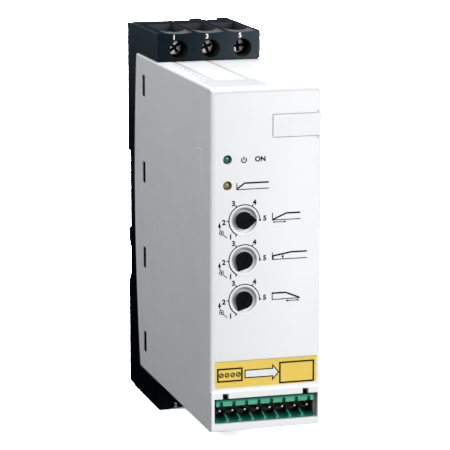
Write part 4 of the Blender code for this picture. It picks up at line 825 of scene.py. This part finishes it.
def make_floor():
    """A wide pale floor that shows white to the camera but throws little light back."""
    shade, shown = (0.11, 0.11, 0.112, 1), (7.5, 7.5, 7.5, 1)
    mesh = bmesh.new()
    bmesh.ops.create_grid(mesh, x_segments=8, y_segments=8, size=6)
    data = bpy.data.meshes.new("floor")
    mesh.to_mesh(data)
    mesh.free()
    floor = bpy.data.objects.new("floor", data)
    floor.location = (0, 0, BASE_LOW.z)
    bpy.context.scene.collection.objects.link(floor)
    material = bpy.data.materials.new("floor_paint")
    material.use_nodes = True
    tree = material.node_tree
    tree.nodes.clear()
    output = tree.nodes.new("ShaderNodeOutputMaterial")
    shader = tree.nodes.new("ShaderNodeBsdfDiffuse")
    tree.links.new(shader.outputs["BSDF"], output.inputs["Surface"])
    rays = tree.nodes.new("ShaderNodeLightPath").outputs
    mix = tree.nodes.new("ShaderNodeMix")
    mix.data_type = "RGBA"
    mix.inputs["A"].default_value = shade
    mix.inputs["B"].default_value = shown
    mix.clamp_result = False
    tree.links.new(rays["Is Camera Ray"], mix.inputs["Factor"])
    tree.links.new(mix.outputs["Result"], shader.inputs["Color"])
    data.materials.append(material)


# The axes that the world's light grows along, where it is full, and how strong it is there.
SKY = (("Z", 0.9, 0.36), ("Y", -0.9, 0.30))
SKY_LEAST = 0.03


def make_world():
    """Soft light from above and in front; the camera, the gloss and clear parts see white."""
    world = bpy.data.worlds.new("studio")
    bpy.context.scene.world = world
    world.use_nodes = True
    tree = world.node_tree
    tree.nodes.clear()
    output = tree.nodes.new("ShaderNodeOutputWorld")
    light = tree.nodes.new("ShaderNodeBackground")
    light.inputs["Color"].default_value = (0.97, 0.985, 1.0, 1)
    way = tree.nodes.new("ShaderNodeTexCoord").outputs["Generated"]
    separate = tree.nodes.new("ShaderNodeSeparateXYZ")
    tree.links.new(way, separate.inputs["Vector"])
    total = tree.nodes.new("ShaderNodeMath")
    for i, (axis, end, strength) in enumerate(SKY):
        share = tree.nodes.new("ShaderNodeMapRange")
        share.inputs["From Min"].default_value = 0
        share.inputs["From Max"].default_value = end
        share.inputs["To Min"].default_value = SKY_LEAST
        share.inputs["To Max"].default_value = strength
        tree.links.new(separate.outputs[axis], share.inputs["Value"])
        tree.links.new(share.outputs["Result"], total.inputs[i])
    tree.links.new(total.outputs["Value"], light.inputs["Strength"])
    white = tree.nodes.new("ShaderNodeBackground")
    white.inputs["Color"].default_value = WHITE
    rays = tree.nodes.new("ShaderNodeLightPath").outputs
    seen = rays["Is Camera Ray"]
    for ray in ("Is Glossy Ray", "Is Transmission Ray"):
        either = tree.nodes.new("ShaderNodeMath")
        either.operation = "MAXIMUM"
        tree.links.new(seen, either.inputs[0])
        tree.links.new(rays[ray], either.inputs[1])
        seen = either.outputs["Value"]
    mix = tree.nodes.new("ShaderNodeMixShader")
    tree.links.new(seen, mix.inputs["Fac"])
    tree.links.new(light.outputs["Background"], mix.inputs[1])
    tree.links.new(white.outputs["Background"], mix.inputs[2])
    tree.links.new(mix.outputs["Shader"], output.inputs["Surface"])


# Each lamp's place, side length, watts, and whether it shows in reflections.
LAMPS = (
    ("front_softbox", (0.75, -1.5, 0.55), 1.2, 28.5, True),
    ("top_softbox", (0.15, -0.15, 1.3), 1.4, 10.2, True),
    ("left_softbox", (-0.30, -0.08, 0.32), 0.3, 0.7, True),
    ("rear_softbox", (0.4, 1.4, 0.25), 1.0, 30, False),
)
LAMP_TARGET = (0, -0.06, 0)


def make_lamp(name, place, side, power, sheen):
    data = bpy.data.lights.new(name, "AREA")
    data.shape = "RECTANGLE"
    data.size = data.size_y = side
    data.energy = power
    lamp = bpy.data.objects.new(name, data)
    lamp.location = place
    lamp.visible_glossy = sheen
    toward = Vector(LAMP_TARGET) - Vector(place)
    lamp.rotation_euler = toward.to_track_quat("-Z", "Y").to_euler()
    bpy.context.scene.collection.objects.link(lamp)


def make_camera():
    """The photo's own view, worked out from the straight edges of the box."""
    data = bpy.data.cameras.new("camera")
    data.lens = 196.72
    data.sensor_width = 36
    data.clip_end = 20
    camera = bpy.data.objects.new("camera", data)
    camera.location = (-0.27336, -1.01314, 0.19028)
    camera.rotation_euler = (1.37587, 0, -0.28219)
    bpy.context.scene.collection.objects.link(camera)
    bpy.context.scene.camera = camera


dress_nodes()
front_print()
label_print()
block_print()
well_rims()
sheet_edge()
top_insets()
vent_blades()
make_floor()
make_world()
for given in LAMPS:
    make_lamp(*given)
make_camera()
bpy.context.scene.view_settings.view_transform = "Standard"
